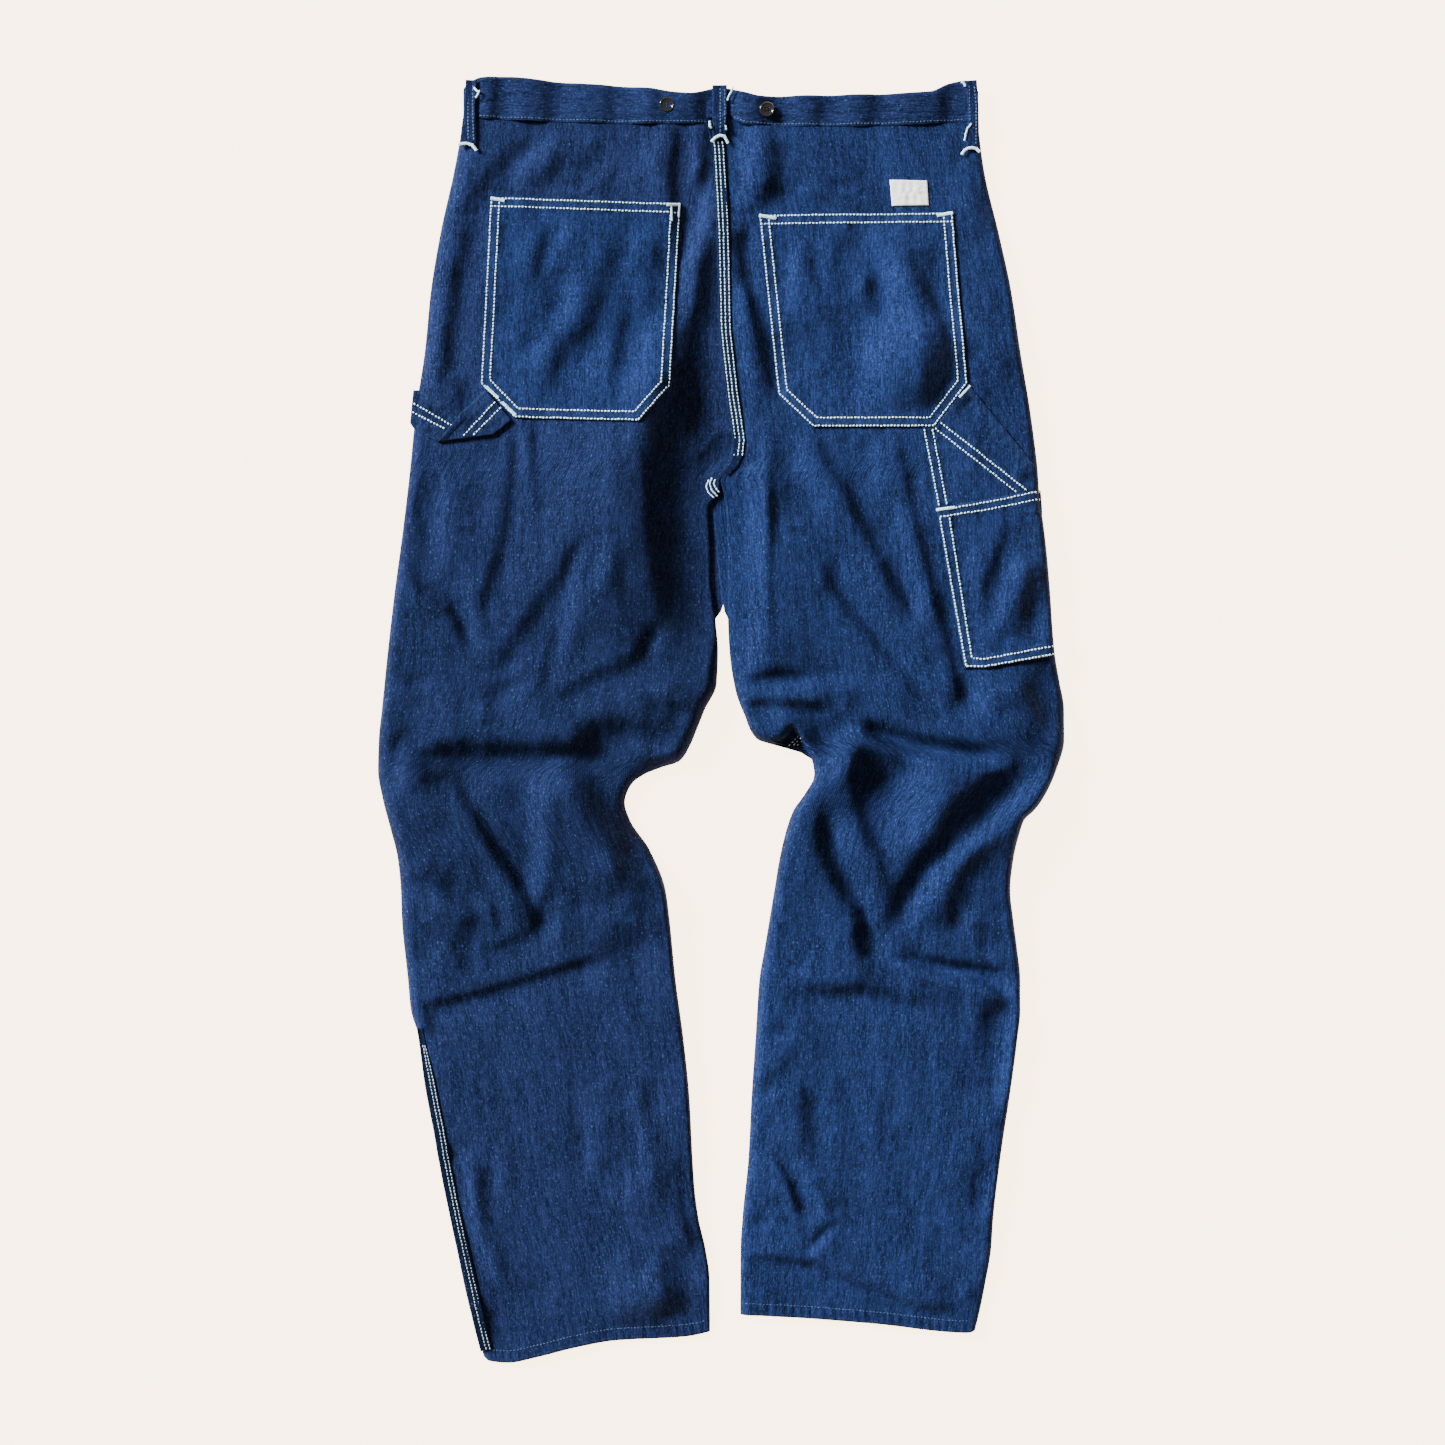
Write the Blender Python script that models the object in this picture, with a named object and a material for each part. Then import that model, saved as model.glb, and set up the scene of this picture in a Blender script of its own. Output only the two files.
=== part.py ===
"""Carpenter pants lying flat with the back facing up.

Metres, +Z up. +Y runs towards the waist and +X towards the wearer's right.
The tables are in millimetres, and MM turns them into metres.
"""

import math

import bmesh
import bpy
import numpy as np
from mathutils import Vector
from mathutils.bvhtree import BVHTree

MM = 0.001

# Cloth and seams
CLOTH = 1.2
BAND_CLOTH = 2.4
STRAP_CLOTH = 1.6
SEAM_GAP = 0.3
LEG_GAP = 1.2
BACK_BASE = CLOTH + SEAM_GAP
EDGE_ROUND = 12.0
FRONT_INSET = 1.5
LOWEST_FOLD = 3.2

# Lengths along the garment
WAIST_SEAM_Y = 506.0
HEM_Y = -520.0
LEGS_PART_Y = 200.0

# Outline of the legs: (y, x)
OUTER_LEFT = (
    (512.0, -219.7), (467.0, -228.0), (416.0, -239.3), (365.0, -247.8), (314.0, -252.9),
    (263.0, -260.5), (212.0, -265.6), (161.0, -271.6), (110.0, -278.4), (59.0, -284.3),
    (8.0, -289.4), (-17.0, -292.0), (-43.0, -292.8), (-68.0, -288.6), (-94.0, -281.8),
    (-119.0, -275.8), (-145.0, -273.3), (-170.0, -272.4), (-221.0, -267.3), (-247.0, -264.8),
    (-272.0, -257.1), (-298.0, -252.9), (-349.0, -245.2), (-400.0, -235.9), (-451.0, -225.7),
    (-502.0, -214.6), (-527.0, -207.0), (-541.0, -203.0), (-546.0, -200.0),
)
OUTER_RIGHT = (
    (512.0, 218.0), (467.0, 224.0), (416.0, 236.0), (365.0, 247.0), (314.0, 254.6),
    (263.0, 263.1), (238.0, 266.5), (212.0, 269.5), (187.0, 270.9), (161.0, 275.0),
    (110.0, 280.0), (59.0, 283.5), (34.0, 287.7), (8.0, 292.0), (-17.0, 292.0),
    (-43.0, 285.2), (-68.0, 273.3), (-79.0, 264.8), (-85.0, 258.0), (-94.0, 254.6),
    (-119.0, 248.6), (-145.0, 246.0), (-170.0, 248.6), (-196.0, 252.0), (-221.0, 254.6),
    (-247.0, 254.6), (-272.0, 252.0), (-323.0, 245.2), (-374.0, 237.6), (-425.0, 231.6),
    (-451.0, 229.9), (-476.0, 225.7), (-502.0, 220.6), (-523.0, 215.5),
)
SEAT_SEAM = (
    (512.0, 0.0), (487.0, 4.7), (417.0, 6.8), (330.0, 8.5), (272.0, 15.3), (248.0, 18.7),
    (237.0, 20.2), (224.0, 18.3), (217.0, 13.2), (210.0, 4.0), (203.0, -4.7), (187.0, -7.2),
    (161.0, -5.5), (127.0, -2.1), (99.0, 1.5),
)
INNER_LEFT = SEAT_SEAM + (
    (59.0, -2.1), (30.0, -3.8), (8.0, -14.0), (-7.0, -20.0), (-23.0, -26.8), (-36.0, -36.0),
    (-43.0, -58.0), (-56.0, -77.0), (-71.0, -82.0), (-85.0, -77.8), (-111.0, -60.8),
    (-145.0, -47.2), (-170.0, -43.8), (-221.0, -38.7), (-272.0, -31.9), (-323.0, -26.8),
    (-374.0, -24.2), (-400.0, -22.5), (-425.0, -19.1), (-451.0, -13.2), (-476.0, -9.8),
    (-523.0, -9.4),
)
INNER_RIGHT = SEAT_SEAM + (
    (59.0, 6.4), (25.0, 11.5), (4.0, 19.1), (-17.0, 30.2), (-22.0, 45.5), (-28.0, 66.7),
    (-33.0, 76.1), (-47.0, 78.6), (-64.0, 70.1), (-77.0, 61.0), (-94.0, 54.8), (-119.0, 48.9),
    (-145.0, 44.6), (-196.0, 36.1), (-221.0, 31.9), (-272.0, 28.5), (-323.0, 25.1),
    (-374.0, 22.5), (-425.0, 17.4), (-451.0, 15.9), (-507.0, 15.7),
)

# Lines across the garment: (x, y)
WAIST_SEAM = (
    (-222.0, 511.5), (-151.0, 508.0), (-64.0, 506.0), (0.0, 506.0), (92.0, 503.8),
    (169.0, 505.3), (222.0, 509.5),
)
WAIST_TOP = (
    (-222.0, 531.0), (-219.0, 537.0), (-204.0, 546.0), (-187.0, 546.5), (-140.0, 542.0),
    (-64.0, 536.8), (-27.0, 532.5), (-2.0, 538.0), (20.0, 533.0), (33.0, 530.2),
    (92.0, 530.8), (177.0, 533.4), (194.0, 541.0), (208.0, 543.6), (217.0, 536.0),
    (222.0, 531.0),
)
HEM_LEFT = (
    (-204.0, -541.0), (-199.0, -545.3), (-181.0, -547.0), (-159.0, -542.7), (-125.0, -534.2),
    (-90.0, -528.3), (-30.0, -524.9), (-9.0, -520.6),
)
HEM_RIGHT = (
    (15.0, -506.2), (67.0, -508.7), (130.0, -513.8), (210.0, -521.5), (216.0, -519.8),
)

# Height of the cloth above the front panels: (y, height)
PUFF = (
    (512.0, 5.6), (480.0, 8.0), (400.0, 9.5), (300.0, 10.5), (200.0, 12.0), (100.0, 13.0),
    (0.0, 17.0), (-60.0, 17.0), (-120.0, 16.0), (-200.0, 13.0), (-300.0, 10.5), (-450.0, 8.0),
    (-500.0, 5.5), (-525.0, 4.2), (-550.0, 4.0),
)

# Folds: name, height, width left of its path, width right of its path, points (x, y)
FOLDS = (
    ("left thigh end", 13.0, 42.0, 13.0, ((-275, -38), (-210, -24), (-168, -23), (-112, -27))),
    ("left knee cap", 9.0, 26.0, 16.0, ((-106, -24), (-148, -56), (-154, -100), (-150, -160))),
    ("left knee hollow", -8.0, 20.0, 20.0, ((-236, -50), (-200, -62), (-168, -66))),
    ("left knee side", -9.0, 18.0, 16.0, ((-112, -35), (-104, -89), (-84, -122))),
    ("left V outer arm", -8.0, 16.0, 24.0, ((-225, -58), (-198, -102), (-163, -160))),
    ("left V inner arm", -7.0, 20.0, 16.0, ((-140, -130), (-157, -178), (-178, -191), (-216, -195))),
    ("left calf band", -6.0, 20.0, 28.0, ((-262, -243), (-210, -231), (-147, -214), (-62, -196))),
    ("left thigh ridge", 5.0, 22.0, 16.0, ((-84, 172), (-110, 120), (-138, 66))),
    ("left thigh trough", -4.0, 16.0, 16.0, ((-112, 160), (-141, 119), (-168, 81), (-196, 42))),
    ("left inner thigh", -5.0, 24.0, 30.0, ((-50, 196), (-48, 140), (-56, 76), (-130, 24))),
    ("left seat crease", -3.5, 16.0, 16.0, ((-170, 500), (-212, 448), (-234, 400))),
    ("left seat hollow", -3.0, 14.0, 14.0, ((-38, 496), (-46, 450), (-44, 420))),
    ("right thigh end", 13.0, 42.0, 12.0,
     ((52, -10), (92, -7), (164, -20), (216, -29), (240, -41), (262, -29), (292, -14))),
    ("right knee stripe", -8.0, 16.0, 18.0, ((120, -8), (111, -53), (118, -76), (140, -122))),
    ("right knee facet", 6.0, 22.0, 22.0, ((160, -30), (158, -72), (150, -112))),
    ("right long trough", -9.0, 22.0, 14.0, ((246, -40), (196, -78), (165, -114), (138, -187))),
    ("right long ridge", 10.0, 14.0, 24.0, ((286, -34), (240, -84), (196, -116), (146, -186))),
    ("right inner trough", -7.0, 14.0, 14.0, ((80, -78), (87, -114), (108, -153), (130, -196))),
    ("right inner ridge", 5.0, 13.0, 13.0, ((92, -86), (116, -130), (138, -178))),
    ("right outer trough", -5.0, 14.0, 16.0, ((222, -106), (196, -150), (195, -186))),
    ("right inner thigh", -4.0, 18.0, 18.0, ((40, 222), (39, 164), (35, 120), (44, 50))),
    ("right thigh crease", -4.0, 16.0, 18.0, ((79, 246), (113, 183), (142, 130), (174, 20))),
    ("right under seat", -3.0, 20.0, 18.0, ((161, 190), (176, 110), (194, 30))),
    ("right seat hollow", -3.0, 14.0, 14.0, ((44, 494), (50, 460), (24, 410))),
    ("right hem pinch", -2.5, 14.0, 12.0, ((44, -368), (74, -420), (112, -430))),
)

# Rows of a panel from the waist down: (from y, to y, number of rows)
ROW_RUNS = (
    (506.0, 232.0, 13), (232.0, 196.0, 4), (196.0, 20.0, 8), (20.0, -112.0, 11),
    (-112.0, -256.0, 8), (-256.0, -500.0, 11), (-500.0, -520.0, 2),
)
EDGE_COLUMNS = (0.0, 1.2, 4.5, 11.0)
MIDDLE_COLUMNS = 9

# Sewn pieces, corners in order (x, y)
BACK_POCKET_LEFT = (
    (-196.4, 444.1), (-34.4, 438.2), (-42.9, 281.8), (-69.3, 251.2), (-175.5, 255.4),
    (-204.4, 284.8),
)
BACK_POCKET_RIGHT = (
    (31.5, 428.8), (196.4, 430.5), (208.7, 284.8), (180.6, 247.8), (77.8, 248.1), (48.0, 276.3),
)
TOOL_POCKET_UPPER = (
    (172.6, 236.2), (209.6, 284.6), (266.5, 212.0), (280.0, 54.5), (224.0, 43.4), (206.8, 43.8),
)
TOOL_POCKET_LOWER = (
    (183.2, 179.0), (268.0, 194.6), (280.0, 54.5), (224.0, 43.4), (206.8, 43.8),
)
LABEL = ((142.4, 458.2), (175.5, 458.2), (175.5, 436.5), (142.4, 436.5))

# Straps as pairs of side points from one end to the other
HAMMER_LOOP = (
    ((-258.0, 280.0), (-264.5, 250.5)), ((-240.0, 270.0), (-252.0, 243.0)),
    ((-222.0, 260.0), (-240.0, 235.5)), ((-214.0, 266.0), (-221.4, 238.0)),
    ((-207.0, 273.0), (-193.5, 240.5)), ((-200.6, 278.8), (-179.6, 254.2)),
)
BELT_LOOP_LEFT = (((-218.8, 542.0), (-208.2, 544.0)), ((-218.8, 484.0), (-208.2, 484.0)))
BELT_LOOP_CENTER = (((-7.2, 537.0), (4.7, 536.6)), ((-6.0, 490.0), (6.0, 490.0)))
BELT_LOOP_RIGHT = (((208.2, 543.0), (218.6, 534.0)), ((208.4, 482.0), (220.0, 482.0)))

# Buttons
SUSPENDER_BUTTON_LEFT = (-46.3, 522.3)
SUSPENDER_BUTTON_RIGHT = (38.7, 518.1)
WAIST_BUTTON = (-12.0, 521.0)
# Profile of a button: (radius, height)
SUSPENDER_BUTTON_PROFILE = ((5.6, 0.0), (6.5, 0.8), (6.5, 1.5), (5.9, 2.2), (4.4, 1.7))
WAIST_BUTTON_PROFILE = ((8.1, 0.0), (8.5, 0.3), (8.5, 0.9), (8.1, 1.2), (6.0, 1.1))
BUTTON_SIDES = 24

# Waistband: clear of the floor, so that the waist button fits below it
BAND_BASE = 1.5
BAND_MOUTH = 2.6
BAND_LEFT = -219.7
BAND_RIGHT = 218.6
BAND_TOP_STEPS = 28
BAND_UNDER_STEPS = 16
BAND_END_STEPS = 5

# Fly strip inside the front: lowest x, highest x, lowest y, highest y
FLY = (-40.0, 2.0, 334.0, 500.0)


def clear_scene():
    for obj in list(bpy.data.objects):
        bpy.data.objects.remove(obj, do_unlink=True)


def make_collection(name):
    collection = bpy.data.collections.new(name)
    bpy.context.scene.collection.children.link(collection)
    return collection


def make_material(name, color, roughness):
    material = bpy.data.materials.new(name)
    material.use_nodes = True
    shader = material.node_tree.nodes["Principled BSDF"]
    shader.inputs["Base Color"].default_value = (*color, 1.0)
    shader.inputs["Roughness"].default_value = roughness
    return material


def add_object(collection, name, points, faces, material):
    """One closed mesh from points in millimetres, made of triangles and facing out."""
    mesh = bpy.data.meshes.new(name)
    mesh.from_pydata([tuple(float(c) * MM for c in p) for p in points], [], faces)
    shape = bmesh.new()
    shape.from_mesh(mesh)
    bmesh.ops.triangulate(shape, faces=shape.faces[:])
    bmesh.ops.recalc_face_normals(shape, faces=shape.faces[:])
    shape.to_mesh(mesh)
    shape.free()
    obj = bpy.data.objects.new(name, mesh)
    obj.data.materials.append(material)
    collection.objects.link(obj)
    return obj


def smooth(table, at):
    """Monotone cubic curve through the rows (position, value) of a table."""
    rows = sorted(table)
    place = np.array([row[0] for row in rows])
    value = np.array([row[1] for row in rows])
    step = np.diff(place)
    slope = np.diff(value) / step
    tangent = np.zeros(len(rows))
    tangent[0] = slope[0]
    tangent[-1] = slope[-1]
    for i in range(1, len(rows) - 1):
        if slope[i - 1] * slope[i] > 0.0:
            before = 2.0 * step[i] + step[i - 1]
            after = step[i] + 2.0 * step[i - 1]
            tangent[i] = (before + after) / (before / slope[i - 1] + after / slope[i])
    at = np.clip(np.asarray(at, dtype=float), place[0], place[-1])
    i = np.clip(np.searchsorted(place, at) - 1, 0, len(step) - 1)
    t = (at - place[i]) / step[i]
    return (
        (1.0 + 2.0 * t) * (1.0 - t) ** 2 * value[i]
        + t * (1.0 - t) ** 2 * step[i] * tangent[i]
        + t * t * (3.0 - 2.0 * t) * value[i + 1]
        + t * t * (t - 1.0) * step[i] * tangent[i + 1]
    )


def ease(t):
    t = np.clip(t, 0.0, 1.0)
    return t * t * (3.0 - 2.0 * t)


def fold_height(x, y):
    """Sum of the folds at points x, y."""
    total = np.zeros_like(x)
    for _name, height, left_width, right_width, path in FOLDS:
        nearest = np.full(x.shape, 1.0e9)
        side = np.zeros_like(x)
        along = np.zeros_like(x)
        walked = 0.0
        for (x0, y0), (x1, y1) in zip(path[:-1], path[1:]):
            length = math.hypot(x1 - x0, y1 - y0)
            ux = (x1 - x0) / length
            uy = (y1 - y0) / length
            s = np.clip((x - x0) * ux + (y - y0) * uy, 0.0, length)
            away = np.hypot(x - x0 - s * ux, y - y0 - s * uy)
            closer = away < nearest
            nearest = np.where(closer, away, nearest)
            side = np.where(closer, ux * (y - y0) - uy * (x - x0), side)
            along = np.where(closer, walked + s, along)
            walked += length
        fade = ease(np.minimum(along, walked - along) / (0.22 * walked))
        width = np.where(side > 0.0, left_width, right_width)
        total += height * fade * np.exp(-((nearest / width) ** 2))
    return total


def edge_distance(table, x, y):
    """Distance from the outline's edge, measured square to the edge."""
    lean = (smooth(table, y + 2.0) - smooth(table, y - 2.0)) / 4.0
    return np.abs(x - smooth(table, y)) / np.sqrt(1.0 + lean * lean)


def cloth_height(x, y, outer, inner):
    """Height of a back panel's outer side above its lower edge."""
    height = smooth(PUFF, y) + fold_height(x, y)
    height = LOWEST_FOLD + np.logaddexp(0.0, (height - LOWEST_FOLD) / 2.0) * 2.0
    reach = np.minimum(EDGE_ROUND, 1.2 * height)
    out = np.clip(edge_distance(outer, x, y) / reach, 0.0, 1.0)
    into = np.clip(edge_distance(inner, x, y) / reach, 0.0, 1.0)
    round_out = np.sqrt(1.0 - (1.0 - out) ** 2)
    round_in = np.sqrt(1.0 - (1.0 - into) ** 2)
    open_legs = ease((LEGS_PART_Y + 10.0 - y) / 40.0)
    return height * round_out * (1.0 - open_legs * (1.0 - round_in))


def row_stations():
    stations = [ROW_RUNS[0][0]]
    for start, end, count in ROW_RUNS:
        for i in range(1, count + 1):
            stations.append(start + (end - start) * i / count)
    return stations


def row_y(station, x, hem):
    """Y of a row at x: it follows the waist seam at the top and the hem at the end."""
    top = ease((station - 430.0) / (WAIST_SEAM_Y - 430.0))
    low = ease((-420.0 - station) / (-420.0 - HEM_Y))
    to_waist = smooth(WAIST_SEAM, x) - SEAM_GAP - WAIST_SEAM_Y
    return station + top * to_waist + low * (smooth(hem, x) - HEM_Y)


def row_ends(station, outer, inner, hem):
    """The two ends of a row, on the outer and the inner edge."""
    outer_x = smooth(outer, station)
    inner_x = smooth(inner, station)
    for _ in range(3):
        outer_x = smooth(outer, row_y(station, outer_x, hem))
        inner_x = smooth(inner, row_y(station, inner_x, hem))
    return outer_x, inner_x


def column_places(start, end):
    """Places across a row, closer together at both edges."""
    way = math.copysign(1.0, end - start)
    first = [start + way * c for c in EDGE_COLUMNS]
    last = [end - way * c for c in reversed(EDGE_COLUMNS)]
    middle = np.linspace(first[-1], last[0], MIDDLE_COLUMNS + 1)[1:-1]
    return np.array(first + list(middle) + last)


def panel_grid(outer, inner, hem):
    """Outer side of a back panel as rows of points (x, y, z)."""
    rows = []
    for station in row_stations():
        outer_x, inner_x = row_ends(station, outer, inner, hem)
        x = column_places(float(outer_x), float(inner_x))
        y = row_y(station, x, hem)
        z = BACK_BASE + cloth_height(x, y, outer, inner)
        rows.append(np.stack([x, y, z], axis=-1))
    return np.array(rows)


def grid_triangles(rows, columns, offset=0):
    triangles = []
    for r in range(rows - 1):
        for c in range(columns - 1):
            a = offset + r * columns + c
            b = a + 1
            d = a + columns
            e = d + 1
            triangles.append((a, d, b))
            triangles.append((b, d, e))
    return triangles


def border_loop(rows, columns):
    """Indices around the border of a grid."""
    top = list(range(columns))
    right = [r * columns + columns - 1 for r in range(1, rows)]
    bottom = [(rows - 1) * columns + c for c in range(columns - 2, -1, -1)]
    left = [r * columns for r in range(rows - 2, 0, -1)]
    return top + right + bottom + left


def close_grid(outer_grid, inner_grid):
    """Points and triangles of a wall between two grids of the same shape."""
    rows, columns = outer_grid.shape[:2]
    count = rows * columns
    points = np.concatenate([outer_grid.reshape(-1, 3), inner_grid.reshape(-1, 3)])
    outside = grid_triangles(rows, columns)
    inside = [(c, b, a) for a, b, c in grid_triangles(rows, columns, count)]
    loop = border_loop(rows, columns)
    rim = []
    for a, b in zip(loop, loop[1:] + loop[:1]):
        rim.append((a, b, b + count))
        rim.append((a, b + count, a + count))
    return points, outside + inside + rim


def grid_normals(grid):
    across = np.gradient(grid, axis=1)
    along = np.gradient(grid, axis=0)
    normal = np.cross(across, along)
    normal /= np.linalg.norm(normal, axis=-1, keepdims=True)
    return np.where(normal[..., 2:] < 0.0, -normal, normal)


def add_back_panel(collection, name, outer, inner, hem, seam_side, material):
    """A shell whose outer side is the grid and whose inner side lies CLOTH inside it."""
    grid = panel_grid(outer, inner, hem)
    inner_edge = -1
    stations = np.array(row_stations())
    joined = stations > LEGS_PART_Y
    grid[:, inner_edge, 0] += seam_side * np.where(joined, SEAM_GAP, LEG_GAP) / 2.0
    normal = grid_normals(grid)
    sideways = math.copysign(1.0, outer[0][1])
    normal[:, 0] = (sideways, 0.0, 0.0)
    normal[joined, inner_edge] = (0.0, 0.0, 1.0)
    normal[~joined, inner_edge] = (-sideways, 0.0, 0.0)
    for row in (0, -1):
        normal[row, 1:-1, 1] = 0.0
    normal /= np.linalg.norm(normal, axis=-1, keepdims=True)
    inside = grid - normal * CLOTH
    inside[..., 2] = np.maximum(inside[..., 2], BACK_BASE)
    points, faces = close_grid(grid, inside)
    obj = add_object(collection, name, points, faces, material)
    return obj, grid


def add_front_panel(collection, name, outer, inner, hem, seam_side, material):
    """A flat plate under the back panel, a little inside its outline."""
    rows = []
    for station in row_stations():
        outer_x, inner_x = row_ends(station, outer, inner, hem)
        sideways = math.copysign(1.0, float(outer_x - inner_x))
        inset = SEAM_GAP / 2.0 if station > LEGS_PART_Y else FRONT_INSET
        x = np.array([float(outer_x) - sideways * FRONT_INSET, float(inner_x) + seam_side * inset])
        y = row_y(station, x, hem)
        rows.append(np.stack([x, y, np.full(2, CLOTH)], axis=-1))
    top = np.array(rows)
    under = top.copy()
    under[..., 2] = 0.0
    points, faces = close_grid(top, under)
    return add_object(collection, name, points, faces, material)


def cut_from_panel(collection, name, grid, outline, lift, thickness, material):
    """A piece lying on a panel: the panel's own surface inside the outline, moved up."""
    rows, columns = grid.shape[:2]
    sheet = bmesh.new()
    verts = [sheet.verts.new(Vector(p)) for p in grid.reshape(-1, 3)]
    for triangle in grid_triangles(rows, columns):
        sheet.faces.new([verts[i] for i in triangle])
    middle = Vector((sum(p[0] for p in outline), sum(p[1] for p in outline), 0.0)) / len(outline)
    for (x0, y0), (x1, y1) in zip(outline, outline[1:] + outline[:1]):
        corner = Vector((x0, y0, 0.0))
        outward = Vector((y1 - y0, x0 - x1, 0.0)).normalized()
        if outward.dot(middle - corner) > 0.0:
            outward.negate()
        geometry = sheet.verts[:] + sheet.edges[:] + sheet.faces[:]
        bmesh.ops.bisect_plane(
            sheet, geom=geometry, dist=0.0001, plane_co=corner, plane_no=outward, clear_outer=True
        )
    bmesh.ops.remove_doubles(sheet, verts=sheet.verts[:], dist=0.4)
    bmesh.ops.triangulate(sheet, faces=sheet.faces[:])
    sheet.verts.index_update()
    low = [(v.co.x, v.co.y, v.co.z + lift) for v in sheet.verts]
    high = [(x, y, z + thickness) for x, y, z in low]
    count = len(low)
    faces = []
    for face in sheet.faces:
        ids = [v.index for v in face.verts]
        faces.append(tuple(reversed(ids)))
        faces.append(tuple(i + count for i in ids))
    for edge in sheet.edges:
        if edge.is_boundary:
            a, b = (v.index for v in edge.verts)
            faces.append((a, b, b + count, a + count))
    sheet.free()
    return add_object(collection, name, low + high, faces, material)


def surface_tree(objects):
    points = []
    faces = []
    for obj in objects:
        start = len(points)
        points.extend(v.co / MM for v in obj.data.vertices)
        faces.extend([i + start for i in face.vertices] for face in obj.data.polygons)
    return BVHTree.FromPolygons(points, faces)


def highest(tree, x, y, reach):
    """Highest point of what lies below a small disc around x, y."""
    top = 0.0
    for radius in (0.0, reach / 2.0, reach):
        for turn in range(12):
            angle = turn * math.pi / 6.0
            start = Vector((x + radius * math.cos(angle), y + radius * math.sin(angle), 300.0))
            hit = tree.ray_cast(start, Vector((0.0, 0.0, -1.0)))[0]
            if hit is not None:
                top = max(top, hit.z)
    return top


def add_strap(collection, name, pairs, steps, bow, tree, material):
    """A strap of even thickness lying on what is below it, a little bowed in the middle."""
    pairs = np.array(pairs)
    place = np.linspace(0.0, len(pairs) - 1.0, steps + 1)
    grid = []
    for s in place:
        i = min(int(s), len(pairs) - 2)
        first, last = pairs[i] + (pairs[i + 1] - pairs[i]) * (s - i)
        lifted = bow * math.sin(math.pi * s / (len(pairs) - 1.0))
        row = []
        for t in (0.0, 0.5, 1.0):
            x, y = first + (last - first) * t
            row.append((x, y, highest(tree, x, y, 7.0) + SEAM_GAP + 0.1 + lifted))
        grid.append(row)
    under = np.array(grid)
    over = under.copy()
    over[..., 2] += STRAP_CLOTH
    points, faces = close_grid(over, under)
    return add_object(collection, name, points, faces, material)


def add_waistband(collection, material):
    """A flattened ring of cloth, its back half raised over its front half."""
    half = BAND_CLOTH / 2.0
    low_z = BAND_BASE + half
    high_z = low_z + BAND_CLOTH + BAND_MOUTH
    bend = (high_z - low_z) / 2.0
    left = BAND_LEFT + half + bend
    right = BAND_RIGHT - half - bend
    path = []
    for x in np.linspace(left, right, BAND_TOP_STEPS + 1):
        path.append((x, high_z, 0.0, 1.0))
    for i in range(1, BAND_END_STEPS):
        angle = math.pi / 2.0 - math.pi * i / BAND_END_STEPS
        path.append((right + bend * math.cos(angle), low_z + bend + bend * math.sin(angle),
                     math.cos(angle), math.sin(angle)))
    for x in np.linspace(right, left, BAND_UNDER_STEPS + 1):
        path.append((x, low_z, 0.0, -1.0))
    for i in range(1, BAND_END_STEPS):
        angle = -math.pi / 2.0 - math.pi * i / BAND_END_STEPS
        path.append((left + bend * math.cos(angle), low_z + bend + bend * math.sin(angle),
                     math.cos(angle), math.sin(angle)))
    points = []
    faces = []
    for x, z, out_x, out_z in path:
        bottom = float(smooth(WAIST_SEAM, x))
        top = float(smooth(WAIST_TOP, x))
        for way, y in ((half, bottom), (half, top), (-half, top), (-half, bottom)):
            points.append((x + way * out_x, y, z + way * out_z))
    for i in range(len(path)):
        this = 4 * i
        following = 4 * ((i + 1) % len(path))
        for c in range(4):
            d = (c + 1) % 4
            faces.append((this + c, this + d, following + d, following + c))
    return add_object(collection, "waistband", points, faces, material)


def add_button(collection, name, center, base, profile, material):
    """A turned disc with a rounded rim and a slightly hollow top."""
    points = []
    faces = []
    for radius, height in profile:
        for i in range(BUTTON_SIDES):
            angle = 2.0 * math.pi * i / BUTTON_SIDES
            points.append((center[0] + radius * math.cos(angle),
                           center[1] + radius * math.sin(angle), base + height))
    for ring in range(len(profile) - 1):
        for i in range(BUTTON_SIDES):
            j = (i + 1) % BUTTON_SIDES
            a = ring * BUTTON_SIDES
            faces.append((a + i, a + j, a + BUTTON_SIDES + j, a + BUTTON_SIDES + i))
    last = (len(profile) - 1) * BUTTON_SIDES
    under = len(points)
    points.append((center[0], center[1], base))
    over = len(points)
    points.append((center[0], center[1], base + profile[-1][1]))
    for i in range(BUTTON_SIDES):
        j = (i + 1) % BUTTON_SIDES
        faces.append((under, j, i))
        faces.append((over, last + i, last + j))
    return add_object(collection, name, points, faces, material)


def add_fly(collection, material):
    low_x, high_x, low_y, high_y = FLY
    corners = ((low_x, low_y), (high_x, low_y), (high_x, high_y), (low_x, high_y))
    points = [(x, y, z) for z in (BACK_BASE, BACK_BASE + CLOTH) for x, y in corners]
    faces = [(3, 2, 1, 0), (4, 5, 6, 7), (0, 1, 5, 4), (1, 2, 6, 5), (2, 3, 7, 6), (3, 0, 4, 7)]
    return add_object(collection, "fly", points, faces, material)


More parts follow.
